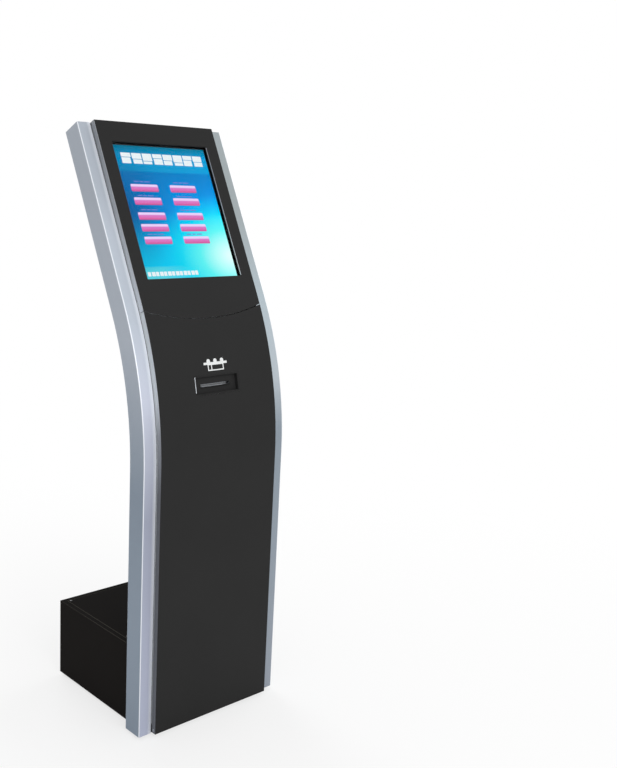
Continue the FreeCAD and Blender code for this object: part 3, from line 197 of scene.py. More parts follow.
def add_node(owner, kind, inputs=None, **settings):
    """Adds one node; an input is a value, a node, or a (node, output) pair to link."""
    tree = owner.node_tree
    node = tree.nodes.new("ShaderNode" + kind)
    for name, value in settings.items():
        setattr(node, name, value)
    for name, value in (inputs or {}).items():
        socket = node.inputs[name]
        if isinstance(value, bpy.types.Node):
            value = (value, 0)
        if isinstance(value, tuple) and isinstance(value[0], bpy.types.Node):
            tree.links.new(value[0].outputs[value[1]], socket)
        elif hasattr(value, "__len__") and len(value) == 3 and len(socket.default_value) == 4:
            socket.default_value = (*value, 1)
        else:
            socket.default_value = value
    return node


def new_material(name):
    """An empty material, and the node that gives places on the object."""
    material = bpy.data.materials.new(name)
    material.use_nodes = True
    material.node_tree.nodes.clear()
    return material, add_node(material, "TexCoord")


def surface(material, inputs, kind="BsdfPrincipled"):
    """Ends a material with its shader."""
    shader = add_node(material, kind, inputs)
    add_node(material, "OutputMaterial", {"Surface": shader})
    return material


def lit_surface(material, tone):
    """A dark display surface that gives its own light in the given tone."""
    return surface(material, {"Base Color": linear("#050608"), "Roughness": 0.5,
                              "Specular IOR Level": 0.0, "Emission Color": tone,
                              "Emission Strength": 1.0})


def set_ramp(ramp_node, stops):
    """Gives a ramp its (position, colour) stops."""
    stops_now = ramp_node.color_ramp.elements
    while len(stops_now) < len(stops):
        stops_now.new(0.5)
    for element, (place, value) in zip(stops_now, stops):
        element.position = place
        element.color = (*value, 1)


def shade(value, factor):
    return tuple(min(1.0, v * factor) for v in value)


def grained(name, base, grain_mm, spread, bump, roughness, metallic=0.0, patch_mm=120, ior=1.5,
            sheen=0.0, gloss=0.5):
    """A finish with a fine grain and slow patches in its colour and roughness."""
    m, where = new_material(name)
    fine = add_node(m, "TexNoise", {"Vector": (where, "Object"), "Scale": 1 / (grain_mm * MM),
                                    "Detail": 3.0})
    slow = add_node(m, "TexNoise", {"Vector": (where, "Object"), "Scale": 1 / (patch_mm * MM),
                                    "Detail": 2.0})
    both = add_node(m, "Math", {0: fine, 1: slow}, operation="ADD")
    tone = add_node(m, "MapRange", {0: both, 1: 0.6, 2: 1.4, 3: 0.0, 4: 1.0})
    paint = add_node(m, "Mix", {0: tone, 6: shade(base, 1 - spread), 7: shade(base, 1 + spread)},
                     data_type="RGBA")
    rough = add_node(m, "MapRange", {0: both, 1: 0.6, 2: 1.4, 3: roughness - 0.05,
                                     4: roughness + 0.05})
    relief = add_node(m, "Bump", {"Height": fine, "Strength": bump, "Distance": 0.1 * MM})
    inputs = {"Base Color": (paint, 2), "Roughness": rough, "Normal": relief,
              "Metallic": metallic, "Sheen Weight": sheen, "Specular IOR Level": gloss}
    if not metallic:
        inputs["IOR"] = ior
    return surface(m, inputs)


def edge_share(m, where, low, high):
    """How far a face turns sideways, and a share that is 1 on upright rounded corners."""
    facing = add_node(m, "SeparateXYZ", {0: (where, "Normal")})
    side = add_node(m, "Math", {0: facing}, operation="ABSOLUTE")
    above = add_node(m, "MapRange", {0: side, 1: low, 2: low + 0.2})
    below = add_node(m, "MapRange", {0: side, 1: high, 2: high - 0.1})
    both = add_node(m, "Math", {0: above, 1: below}, operation="MULTIPLY")
    return side, both


def up_the_height(m, where, stops):
    """A colour that changes up the kiosk, by (share of the height, colour) stops."""
    place = add_node(m, "SeparateXYZ", {0: (where, "Object")})
    level = add_node(m, "MapRange", {0: (place, 2), 1: 0.0, 2: HEIGHT})
    ramp = add_node(m, "ValToRGB", {0: level})
    set_ramp(ramp, stops)
    return ramp


def fine_grain(m, where, tone, grain_mm, low, high, strength):
    """Breaks a tone up with a fine grain: gives the grain, the paint and the relief."""
    grain = add_node(m, "TexNoise", {"Vector": (where, "Object"), "Scale": 1 / (grain_mm * MM),
                                     "Detail": 3.0})
    spread = add_node(m, "MapRange", {0: grain, 1: 0.3, 2: 0.7, 3: low, 4: high})
    paint = add_node(m, "VectorMath", {0: tone, "Scale": spread}, operation="SCALE")
    relief = add_node(m, "Bump", {"Height": grain, "Strength": strength, "Distance": 0.05 * MM})
    return grain, paint, relief


def anodised_aluminium():
    """Satin anodising: cool silver with painted light and shade, palest in the bend, and painted
    highlights on its corners.
    """
    c = colours()
    m, where = new_material("anodised_aluminium")
    place = add_node(m, "SeparateXYZ", {0: (where, "Object")})
    # painted light and shade: the front faces change tone up the height, palest in the bend as a
    # painted reflection
    left = up_the_height(m, where, [
        (0.0, shade(c.silver_low, 1.4)), (0.25, shade(c.silver_low, 1.08)),
        (0.38, shade(c.silver_low, 0.96)), (0.575, c.silver_bend_highlight), (0.7, c.silver),
        (0.83, c.silver), (0.9, shade(c.silver, 0.88)), (1.0, shade(c.silver, 0.87))])
    # painted shade: the right-hand profile's front faces are drawn a shade darker than the
    # left-hand one's
    right = up_the_height(m, where, [(0.0, linear("#969ea9")), (0.5, linear("#8f9ba6")),
                                     (0.585, linear("#b4bdc4")), (0.72, linear("#b0bdc4")),
                                     (0.86, linear("#9fa8ab"))])
    half = add_node(m, "MapRange", {0: place, 1: -0.1, 2: 0.1})
    front = add_node(m, "Mix", {0: half, 6: left, 7: right}, data_type="RGBA")
    # painted shade: the outer faces get their own ramp, darker than the front faces, most of all
    # near the floor
    outer = up_the_height(m, where, [(0.0, shade(c.silver_side_low, 1.12)),
                                     (0.42, shade(c.silver_side_low, 1.03)),
                                     (0.66, shade(c.silver_side, 1.04)), (0.8, c.silver_side),
                                     (0.92, shade(c.silver_side, 0.9))])
    side, corner = edge_share(m, where, 0.2, 0.98)
    facet = add_node(m, "MapRange", {0: side, 1: 0.7, 2: 0.95})
    # painted highlight: the front face is drawn brighter towards its inner corner, where the
    # proud door panel casts shade; weaker on the right-hand profile
    across = add_node(m, "Math", {0: place}, operation="ABSOLUTE")
    near = add_node(m, "MapRange", {0: across, 1: 184 * MM, 2: 173 * MM})
    least = add_node(m, "MapRange", {0: half, 3: 1.0, 4: 0.3})
    inner = add_node(m, "Math", {0: near, 1: least}, operation="MULTIPLY")
    polished = add_node(m, "Mix", {0: inner, 6: (front, 2), 7: c.silver_corner_highlight}, data_type="RGBA")
    tone = add_node(m, "Mix", {0: facet, 6: (polished, 2), 7: outer}, data_type="RGBA")
    # grain of the etched surface, drawn at 0.5 mm because the real one is too fine
    grain, paint, relief = fine_grain(m, where, (tone, 2), 0.5, 0.96, 1.03, 0.12)
    # painted highlight: a pale line on the rounded corners of the profiles
    corner_highlighted = add_node(m, "Mix", {0: corner, 6: paint, 7: c.silver_corner_highlight}, data_type="RGBA")
    rough = add_node(m, "MapRange", {0: grain, 3: 0.38, 4: 0.5})
    return surface(m, {"Base Color": (corner_highlighted, 2), "Metallic": 0.4, "Roughness": rough,
                       "Normal": relief})


def silver_lacquer():
    """Silver lacquer on thin edges: a soft metallic fleck, with a painted highlight just above
    the seam and darker towards the top.
    """
    c = colours()
    m, where = new_material("silver_lacquer")
    tone = up_the_height(m, where, [(0.0, c.silver_edge), (0.6, c.silver_edge_lit),
                                    (0.68, c.silver_edge_lit), (0.84, c.silver_edge),
                                    (0.97, shade(c.silver_edge, 0.7))])
    # metal flecks, drawn 0.7 mm across because the real ones are too fine
    fleck, paint, relief = fine_grain(m, where, tone, 0.7, 0.95, 1.04, 0.08)
    rough = add_node(m, "MapRange", {0: fleck, 3: 0.35, 4: 0.46})
    return surface(m, {"Base Color": paint, "Metallic": 0.3, "Roughness": rough,
                       "Normal": relief})


def powder_coated_box():
    """Powder coat: nearly black and even, with a painted highlight along the folds and painted
    shade on faces that look up.
    """
    c = colours()
    m, where = new_material("powder_coated_box")
    # texture of the coat, drawn 0.9 mm across because the real one is too fine
    sand = add_node(m, "TexNoise", {"Vector": (where, "Object"), "Scale": 1 / (0.9 * MM),
                                    "Detail": 3.0})
    tone = add_node(m, "Mix", {0: sand, 6: shade(c.box, 0.9), 7: shade(c.box, 1.08)},
                    data_type="RGBA")
    # painted highlight: the rounded folds, which face between the main directions, are drawn
    # paler
    facing = add_node(m, "SeparateXYZ", {0: (where, "Normal")})
    flat = [add_node(m, "Math", {0: (facing, i)}, operation="ABSOLUTE") for i in range(3)]
    across = add_node(m, "Math", {0: (flat[0], 0), 1: (flat[1], 0)}, operation="MAXIMUM")
    most = add_node(m, "Math", {0: across, 1: (flat[2], 0)}, operation="MAXIMUM")
    fold = add_node(m, "MapRange", {0: most, 1: 0.99, 2: 0.9})
    # painted shade: faces that look up are drawn darker
    upward = add_node(m, "MapRange", {0: (facing, 2), 1: 0.9, 2: 1.0, 3: 1.0, 4: 0.6})
    top_shaded = add_node(m, "VectorMath", {0: (tone, 2), "Scale": upward}, operation="SCALE")
    paint = add_node(m, "Mix", {0: fold, 6: top_shaded, 7: c.box_edge_highlight}, data_type="RGBA")
    relief = add_node(m, "Bump", {"Height": sand, "Strength": 0.25, "Distance": 0.1 * MM})
    return surface(m, {"Base Color": (paint, 2), "Roughness": 0.75, "IOR": 1.45,
                       "Specular IOR Level": 0.015, "Normal": relief})


def satin_black_paint(name, side_stops):
    """Sprayed satin enamel: an even charcoal, with a painted highlight on its outward folded
    sides.
    """
    c = colours()
    m, where = new_material(name)
    # orange peel of sprayed enamel, about 2 mm across
    peel = add_node(m, "TexNoise", {"Vector": (where, "Object"), "Scale": 1 / (2 * MM),
                                    "Detail": 2.0})
    slow = add_node(m, "TexNoise", {"Vector": (where, "Object"), "Scale": 1 / (180 * MM),
                                    "Detail": 2.0})
    even = add_node(m, "MapRange", {0: slow, 1: 0.3, 2: 0.7, 3: 0.97, 4: 1.03})
    # the painted highlight goes only on the sides that face away from the middle, not those
    # inside an opening
    place = add_node(m, "SeparateXYZ", {0: (where, "Object")})
    facing = add_node(m, "SeparateXYZ", {0: (where, "Normal")})
    half = add_node(m, "Math", {0: place}, operation="SIGN")
    side = add_node(m, "Math", {0: facing, 1: half}, operation="MULTIPLY")
    sides = add_node(m, "MapRange", {0: side, 1: 0.6, 2: 0.9})
    folded = up_the_height(m, where, side_stops)
    paint = add_node(m, "Mix", {0: sides, 6: c.panel, 7: folded}, data_type="RGBA")
    toned = add_node(m, "VectorMath", {0: (paint, 2), "Scale": even}, operation="SCALE")
    rough = add_node(m, "MapRange", {0: peel, 3: 0.44, 4: 0.56})
    relief = add_node(m, "Bump", {"Height": peel, "Strength": 0.06, "Distance": 0.2 * MM})
    return surface(m, {"Base Color": toned, "Roughness": rough, "Normal": relief, "IOR": 1.45,
                       "Specular IOR Level": 0.08})


def cover_glass():
    """Float glass with a non-glare coat: clear, with only a faint reflection."""
    m, where = new_material("non_glare_glass")
    wipe = add_node(m, "TexNoise", {"Vector": (where, "Object"), "Scale": 1 / (60 * MM),
                                    "Detail": 3.0})
    rough = add_node(m, "MapRange", {0: wipe, 1: 0.4, 2: 0.7, 3: 0.0, 4: 0.03})
    return surface(m, {"Base Color": linear("#fbfdfd"), "Roughness": rough, "IOR": 1.12,
                       "Transmission Weight": 1.0})


def lit_picture():
    """The lit display: azure sky tones, a deeper header and a pale glow low at the right."""
    m, where = new_material("lit_picture")
    place = add_node(m, "SeparateXYZ", {0: (where, "UV")})
    sky = add_node(m, "ValToRGB", {0: (place, 1)})
    set_ramp(sky, [(0.0, linear("#5fe0f0")), (0.088, linear("#52dcf0")),
                   (0.095, linear("#00d0fc")), (0.26, linear("#00ccff")),
                   (0.5, linear("#0098ee")), (0.8, linear("#007cc6")), (0.808, linear("#049cd6")),
                   (0.93, linear("#0092ca")), (1.0, linear("#007294"))])
    left = add_node(m, "Mapping", {"Vector": (where, "UV"), "Location": (0.1, -1.1, 0),
                                   "Scale": (1.6, 2.2, 1)})
    deep = add_node(m, "TexGradient", {"Vector": left}, gradient_type="SPHERICAL")
    shaded = add_node(m, "Mix", {0: (deep, 1), 6: sky, 7: linear("#0a5a9c")}, data_type="RGBA")
    right = add_node(m, "Mapping", {"Vector": (where, "UV"), "Location": (-1.15, -0.312, 0),
                                    "Scale": (1.15, 1.95, 1)})
    glow = add_node(m, "TexGradient", {"Vector": right}, gradient_type="SPHERICAL")
    haze = add_node(m, "ValToRGB", {0: (glow, 1)})
    set_ramp(haze, [(0.0, linear("#00c4fa")), (0.35, linear("#08dcf6")), (0.6, linear("#5cf0f0")),
                    (0.95, linear("#d8fff8"))])
    near = add_node(m, "MapRange", {0: (glow, 1), 1: 0.06, 2: 0.42})
    mixed = add_node(m, "Mix", {0: near, 6: (shaded, 2), 7: haze}, data_type="RGBA")
    # a little brighter from left to right
    tilt = add_node(m, "MapRange", {0: place, 3: 0.84, 4: 1.12})
    shown = add_node(m, "VectorMath", {0: (mixed, 2), "Scale": tilt}, operation="SCALE")
    return lit_surface(m, shown)


def lit_key():
    """A touch key in the picture: pink, with a pale lilac light along its upper edge."""
    c = colours()
    m, where = new_material("lit_key")
    place = add_node(m, "SeparateXYZ", {0: (where, "UV")})
    tone = add_node(m, "ValToRGB", {0: (place, 1)})
    set_ramp(tone, [(0.0, shade(c.key, 0.75)), (0.15, c.key), (0.6, linear("#dc80cc")),
                    (0.74, c.key_light), (1.0, c.key_light)])
    return lit_surface(m, tone)


def lit_mark(name, code, low):
    """Small marks in the picture, slightly uneven as pixels are."""
    m, where = new_material(name)
    cells = add_node(m, "TexNoise", {"Vector": (where, "Object"), "Scale": 1 / (3 * MM),
                                     "Detail": 1.0})
    tone = add_node(m, "Mix", {0: cells, 6: shade(code, low), 7: code}, data_type="RGBA")
    return lit_surface(m, (tone, 2))


def wound_paper():
    """Ticket paper: matt off-white, with the turns of the roll showing on its ends."""
    c = colours()
    m, where = new_material("wound_thermal_paper")
    low, high = corners("paper_roll")
    middle = (low + high) / 2
    about = add_node(m, "Mapping", {"Vector": (where, "Object"), "Location": tuple(-middle)})
    # turns of paper, drawn 0.8 mm apart because real ones are too fine
    turns = add_node(m, "TexWave", {"Vector": about, "Scale": 1 / (2.5 * MM), "Distortion": 0.4,
                                    "Detail": 1.0}, wave_type="RINGS", rings_direction="X")
    tone = add_node(m, "Mix", {0: (turns, 1), 6: shade(c.paper, 0.86), 7: c.paper},
                    data_type="RGBA")
    relief = add_node(m, "Bump", {"Height": (turns, 1), "Strength": 0.2, "Distance": 0.1 * MM})
    return surface(m, {"Base Color": (tone, 2), "Roughness": 0.85, "IOR": 1.45, "Normal": relief})


FINISHES = {}


def make_finishes():
    """One material for every finish of the real kiosk, named for what it is."""
    c = colours()
    # a grained finish: name, colour, grain in mm, then how much its tone varies, the strength
    # of its relief and its roughness; a grain too fine to show is drawn as coarse as it needs
    FINISHES.update({
        "silver_profile": anodised_aluminium(),
        # the panel's folded sides carry a painted highlight, palest where the column bends
        "black_panel": satin_black_paint("satin_black_paint", [
            (0.42, c.panel_side_highlight), (0.52, linear("#94979d")), (0.575, c.panel_side_lit)]),
        "black_outlet": satin_black_paint("satin_black_outlet", [
            (0.0, c.panel), (1.0, c.panel)]),
        "base_coat": powder_coated_box(),
        # blackened steel: dark oxide with a dull metal gleam
        "black_steel": grained("blackened_steel", linear("#2c2c2e"), 0.5, 0.1, 0.1, 0.45,
                               metallic=0.5),
        # powder coat: fine even texture that scatters light, nearly black
        "dark_box": grained("powder_coated_steel", c.box, 0.9, 0.1, 0.25, 0.6,
                            ior=1.45, gloss=0.05),
        # moulded ABS with a spark-eroded grain
        "black_plastic": grained("moulded_abs", c.moulded, 0.6, 0.12, 0.3, 0.5),
        # polished ABS: smooth, deep and glossy
        "gloss_black": grained("polished_abs", c.polished, 3, 0.1, 0.02, 0.14),
        # moulded rubber: dull, soft and a little dusty
        "rubber": grained("nitrile_rubber", c.rubber, 1.2, 0.15, 0.4, 0.8, sheen=0.1),
        # zinc plate: cool grey metal with cloudy patches
        "zinc_steel": grained("zinc_plated_steel", c.zinc, 1.5, 0.1, 0.08, 0.46,
                              metallic=0.8, patch_mm=18),
        # bare stainless steel: bright, with a brushed softness
        "bright_steel": grained("stainless_steel", c.steel, 0.4, 0.04, 0.05, 0.32,
                                metallic=1.0, patch_mm=30),
        # hardened blade steel: ground, darker than the screws
        "blade_steel": grained("hardened_steel", linear("#85888c"), 0.4, 0.05, 0.05, 0.36,
                               metallic=1.0, patch_mm=30),
        # lacquer over steel: soft silver with a fine fleck
        "silver_return": silver_lacquer(),
        # nickel plate on the contacts: pale and smooth
        "nickel": grained("nickel_plate", linear("#c9c5b8"), 0.4, 0.04, 0.04, 0.25,
                          metallic=1.0),
        # turned brass: warm yellow metal, smooth
        "brass": grained("machined_brass", c.brass, 0.5, 0.06, 0.1, 0.25, metallic=1.0),
        # screen-printed ink: flat, a little uneven
        "white_print": grained("screen_printed_ink", c.ink, 0.5, 0.05, 0.15, 0.6),
        "paper": wound_paper(),
        # wound card: brown, matt and fibrous
        "card": grained("wound_card", c.card, 0.8, 0.12, 0.3, 0.85, patch_mm=8),
        # acetal: waxy, slightly see-through white plastic
        "white_gear": grained("acetal", c.gear, 1, 0.03, 0.05, 0.35),
        # ABS coloured through, moulded smooth: clean colour with a soft shine
        "green_lever": grained("coloured_abs", c.lever, 0.6, 0.06, 0.15, 0.4),
        "blue_button": grained("button_abs", c.button, 0.6, 0.06, 0.1, 0.3),
        # solder mask over glass fibre: glossy, with the weave faintly under it
        "circuit_board": grained("solder_mask", c.board, 0.7, 0.16, 0.15, 0.25,
                                 patch_mm=6),
        "cover_glass": cover_glass(),
        # dark border of the display behind the picture
        "display": grained("display_border", linear("#0b0c0e"), 0.6, 0.1, 0.05, 0.35),
        # moulded epoxy: black, fine and half matt
        "chip": grained("chip_epoxy", c.chip, 0.5, 0.1, 0.2, 0.45),
        "picture": lit_picture(),
        "key": lit_key(),
        "title": lit_mark("lit_title", tuple(c.title), 0.86),
        "caption": lit_mark("lit_caption", tuple(c.caption), 0.8),
    })


def finish_for(name):
    if not FINISHES:
        make_finishes()
    return FINISHES[name]


# Modelling steps

def nothing_selected():
    if bpy.context.object and bpy.context.object.mode != "OBJECT":
        bpy.ops.object.mode_set(mode="OBJECT")
    bpy.ops.object.select_all(action="DESELECT")


def only(piece):
    nothing_selected()
    piece.select_set(True)
    bpy.context.view_layer.objects.active = piece
    return piece


def pick(piece, faces=None, edges=None, points=None):
    """Selects in object mode by place or direction, then enters edit mode."""
    only(piece)
    bpy.ops.object.mode_set(mode="EDIT")
    bpy.ops.mesh.select_all(action="DESELECT")
    kind = "FACE" if faces else "EDGE" if edges else "VERT"
    bpy.ops.mesh.select_mode(type=kind)
    bpy.ops.object.mode_set(mode="OBJECT")
    mesh = piece.data
    if faces:
        for f in mesh.polygons:
            f.select = bool(faces(f))
    elif edges:
        for e in mesh.edges:
            e.select = bool(edges(*(mesh.vertices[i].co for i in e.vertices)))
    else:
        for v in mesh.vertices:
            v.select = bool(points(v.co))
    bpy.ops.object.mode_set(mode="EDIT")


def object_mode():
    bpy.ops.object.mode_set(mode="OBJECT")


def settle(piece):
    """Puts the piece's place, turn and size into its mesh."""
    only(piece)
    bpy.ops.object.transform_apply(location=True, rotation=True, scale=True)
    return piece


def block(low, high):
    """A block between two corners, in local axes."""
    nothing_selected()
    low, high = Vector(low), Vector(high)
    bpy.ops.mesh.primitive_cube_add(size=1, location=(low + high) / 2, scale=high - low)
    return settle(bpy.context.object)


def grid(low, high, z, columns, rows):
    """A flat grid between two (x, y) corners."""
    nothing_selected()
    bpy.ops.mesh.primitive_grid_add(x_subdivisions=columns, y_subdivisions=rows, size=1)
    sheet = bpy.context.object
    sheet.location = ((low[0] + high[0]) / 2, (low[1] + high[1]) / 2, z)
    sheet.scale = (high[0] - low[0], high[1] - low[1], 1)
    return settle(sheet)


def disc(centre, radius, depth, axis="Z", sides=32):
    """A solid round, standing along one axis."""
    nothing_selected()
    turn = {"X": (0, math.pi / 2, 0), "Y": (math.pi / 2, 0, 0), "Z": (0, 0, 0)}[axis]
    bpy.ops.mesh.primitive_cylinder_add(vertices=sides, radius=radius, depth=depth,
                                        location=centre, rotation=turn)
    return settle(bpy.context.object)


def applied(piece, kind, **settings):
    """Adds a modifier with its settings and applies it."""
    only(piece)
    modifier = piece.modifiers.new(kind.lower(), kind)
    for name, value in settings.items():
        setattr(modifier, name, value)
    bpy.ops.object.modifier_apply(modifier=modifier.name)
    return piece


def rounded(piece, width, segments=2, angle=40):
    """Rounds the sharp edges with a bevel."""
    return applied(piece, "BEVEL", width=width, segments=segments, limit_method="ANGLE",
                   angle_limit=math.radians(angle))


def merged(pieces):
    """Joins several into one."""
    nothing_selected()
    for piece in pieces:
        piece.select_set(True)
    bpy.context.view_layer.objects.active = pieces[0]
    bpy.ops.object.join()
    return bpy.context.object


def outward(piece):
    only(piece)
    bpy.ops.object.mode_set(mode="EDIT")
    bpy.ops.mesh.select_all(action="SELECT")
    bpy.ops.mesh.remove_doubles(threshold=0.002 * MM)
    bpy.ops.mesh.normals_make_consistent(inside=False)
    object_mode()
    return piece


def copy_of(piece, move):
    """A copy with its own mesh, moved."""
    only(piece)
    bpy.ops.object.duplicate(linked=False)
    bpy.ops.transform.translate(value=move)
    return settle(bpy.context.object)


def finished(piece, name, finish, body, at=None):
    """Places a piece, names it, paints it and makes it ride on a body."""
    only(piece)
    if at is not None:
        piece.matrix_world = at @ piece.matrix_world
        bpy.context.view_layer.update()
    settle(piece)
    bpy.ops.object.shade_smooth_by_angle(angle=math.radians(30))
    # large faces keep their own direction, so flat sheet looks flat
    applied(piece, "WEIGHTED_NORMAL", keep_sharp=True)
    piece.name = name
    piece.data.name = name
    piece.data.materials.clear()
    piece.data.materials.append(finish_for(finish))
    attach(piece, body)
    return piece


def painted(finish, *names):
    """Gives solid-model nodes their finish."""
    for name in names:
        for place in NODES[name].material_slots:
            place.material = finish_for(finish)


def softened(node, finish, width, segments=2, angle=40):
    """A node's shape with its flat faces merged and its sharp edges rounded."""
    source = NODES[node]
    piece = bpy.data.objects.new(node + "_soft", source.data.copy())
    bpy.context.scene.collection.objects.link(piece)
    only(piece)
    bpy.ops.object.mode_set(mode="EDIT")
    bpy.ops.mesh.select_all(action="SELECT")
    bpy.ops.mesh.remove_doubles(threshold=0.005 * MM)
    bpy.ops.mesh.dissolve_limited(angle_limit=math.radians(0.5))
    object_mode()
    rounded(piece, width, segments, angle)
    finished(piece, node + "_soft", finish, source["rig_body"])
    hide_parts(node)
    return piece


def trim(name, low, high, edge, segments, body, at):
    """A thin silver strip with rounded edges, by its corners in local axes."""
    strip = rounded(block(low, high), edge, segments)
    finished(strip, name, "silver_return", body, at)


def picture_map(piece, low, high):
    """Spreads the UV map over a rectangle across X and up Z."""
    mesh = piece.data
    layer = mesh.uv_layers.active or mesh.uv_layers.new(name="UVMap")
    for loop in mesh.loops:
        p = mesh.vertices[loop.vertex_index].co
        layer.data[loop.index].uv = ((p.x - low[0]) / (high[0] - low[0]),
                                     (p.z - low[1]) / (high[1] - low[1]))


# Pieces

class KIOSK_OT_column(Operator):
    """Anodised side profiles, their end caps and the cap of the head"""
    bl_idname = "kiosk.column"
    bl_label = "Column"

    def execute(self, context):
        painted("silver_profile", "left_side_profile", "right_side_profile")
        painted("black_plastic", "profile_caps")
        softened("top_cap", "silver_return", sizes().edge)
        # the right-hand seal is cut out at the seam, where it would show through the gap
        foot, below, above = mm(24, 984, 1014)
        self.seals("left_edge_seal", -1, [(foot, PATH_END)])
        self.seals("right_edge_seal", 1, [(foot, below), (above, PATH_END)])
        return {"FINISHED"}

    def seals(self, name, side, spans):
        """Strips behind the gap between a profile and the front panels."""
        outer, behind = mm(171.8, 0.2)
        inner = outer - sizes().seal_width
        strips = []
        for start, end in spans:
            rows = int((end - start) / (16 * MM))
            strip = grid((inner, start), (outer, end), 0, 2, rows)
            for p in strip.data.vertices:
                p.co = path_frame(p.co.y) @ Vector((side * p.co.x, behind, 0))
            strips.append(outward(strip))
        strip = applied(merged(strips), "SOLIDIFY", thickness=1 * MM, offset=0)
        rounded(strip, 0.25 * MM, 2, 60)
        finished(strip, name, "silver_return", "cabinet", None)


class KIOSK_OT_panels(Operator):
    """Front door and head panel with rounded edges, and the silver edge frame"""
    bl_idname = "kiosk.panels"
    bl_label = "Front panels"

    def execute(self, context):
        softened("front_door", "black_panel", sizes().panel_edge)
        softened("head_panel", "black_panel", sizes().panel_edge)
        softened("head_edge_frame", "silver_return", sizes().edge)
        return {"FINISHED"}


def picture_tile(low, high, front, thick, corner):
    """A thin rounded tile in the picture; low and high are (x, z) in local axes."""
    tile = block((low[0], -front - thick, low[1]), (high[0], -front, high[1]))
    pick(tile, edges=lambda a, b: abs(a.y - b.y) > thick / 2)
    bpy.ops.mesh.bevel(offset=corner, segments=4, affect="EDGES")
    object_mode()
    picture_map(tile, low, high)
    return tile


class KIOSK_OT_screen(Operator):
    """Touch screen: glass, gasket, lit picture with ten plain keys, and a silver strip on the
    opening's right edge as a painted highlight
    """
    bl_idname = "kiosk.screen"
    bl_label = "Touch screen"

    def execute(self, context):
        s = sizes()
        painted("cover_glass", "screen_glass")
        painted("black_plastic", "screen_gasket")
        painted("display", "display_module")
        left = -s.picture_width / 2 - s.picture_left
        low = s.picture_middle - s.picture_height / 2
        wide, high = s.picture_width, s.picture_height
        back = s.picture_front - 0.05 * MM
        sheet = picture_tile((left, low), (left + wide, low + high), back, 0.04 * MM, 0.6 * MM)
        finished(sheet, "lit_picture", "picture", "cabinet", HEAD)

        def tile(u0, v0, u1, v1, corner):
            """A tile by its share of the picture, from the top left."""
            return picture_tile((left + u0 * wide, low + (1 - v1) * high),
                                (left + u1 * wide, low + (1 - v0) * high), s.picture_front,
                                0.04 * MM, corner)

        blocks = []
        top, foot, wide_block = 0.056, 0.137, 0.1
        for i in range(8):
            start = 0.07 + i * 0.111
            split = 0.088 + 0.012 * (i % 3)
            blocks.append(tile(start, top, start + wide_block, split, 1 * MM))
            blocks.append(tile(start + 0.006 * (i % 2), split + 0.004,
                               start + wide_block - 0.008 * ((i + 1) % 2), foot, 1 * MM))
        finished(merged(blocks), "title_blocks", "title", "cabinet", HEAD)

        keys = []
        half = s.key_height / high / 2
        for column in (0.09, 0.506):
            for row in (0.321, 0.421, 0.533, 0.62, 0.714):
                keys.append(tile(column, row - half, column + s.key_width / wide, row + half,
                                 3 * MM))
        for number, key in enumerate(keys):
            finished(key, f"touch_key_{number + 1:02d}", "key", "cabinet", HEAD)

        dashes = []
        for column in (0.135, 0.555):
            for row in (0.27, 0.376, 0.482, 0.666):
                for step, size in ((0.0, 0.05), (0.062, 0.035), (0.11, 0.06)):
                    dashes.append(tile(column + step, row, column + step + size, row + 0.007,
                                       0.6 * MM))
        finished(merged(dashes), "caption_dashes", "caption", "cabinet", HEAD)

        notes = []
        for i in range(13):
            start = 0.03 + i * 0.042
            notes.append(tile(start, 0.945, start + 0.031 + 0.005 * (i % 2), 0.976, 0.8 * MM))
        finished(merged(notes), "footer_blocks", "title", "cabinet", HEAD)

        # painted highlight: a silver strip along the right edge of the screen opening only, where
        # its bevel catches light
        trim("opening_painted_highlight", mm(135.9, -14.8, 49.5), mm(137.4, -13.2, 386.5), 0.3 * MM, 2,
             "cabinet", HEAD)
        return {"FINISHED"}


class KIOSK_OT_outlet(Operator):
    """Ticket outlet: bezel, toothed tear bar with a bright edge and painted highlight, printed
    sign, and a painted highlight on the left rim
    """
    bl_idname = "kiosk.outlet"
    bl_label = "Ticket outlet"

    def execute(self, context):
        s = sizes()
        softened("outlet_bezel", "black_outlet", 0.5 * MM)
        painted("white_print", "ticket_symbol")
        bar = self.tear_bar(s)
        finished(bar, "toothed_tear_bar", "black_outlet", "front_door", OUTLET)
        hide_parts("tear_bar")
        # the tear bar's bare steel edge, drawn as a silver strip only over the part where a
        # highlight shows, so partly a painted highlight
        trim("tear_bar_edge_and_highlight", mm(-43.4, -9.5, -3.1), mm(17, -7, -2.5), 0.25 * MM, 2, "front_door",
             OUTLET)
        # painted highlight: a silver strip on the left rim of the outlet recess
        trim("outlet_rim_highlight", mm(-65.4, -15.5, -16), mm(-63.9, -14.2, 21), 0.4 * MM, 3,
             "front_door", OUTLET)
        return {"FINISHED"}

    def tear_bar(self, s):
        """A thin bar whose front edge is cut into teeth."""
        half, back, front, under, thick = mm(43.6, -3.5, -10.5, -4.6, 1.6)
        teeth = int(2 * half / s.tooth_pitch)
        bar = grid((-half, front), (half, back), under, 2 * teeth, 1)
        step = half / teeth
        pick(bar, points=lambda p: p.y < front + 0.01 * MM
             and round((p.x + half) / step) % 2 == 0)
        bpy.ops.transform.translate(value=(0, s.tooth_depth, 0))
        bpy.ops.mesh.select_all(action="SELECT")
        bpy.ops.mesh.extrude_region_move(TRANSFORM_OT_translate={"value": (0, 0, thick)})
        object_mode()
        return outward(bar)


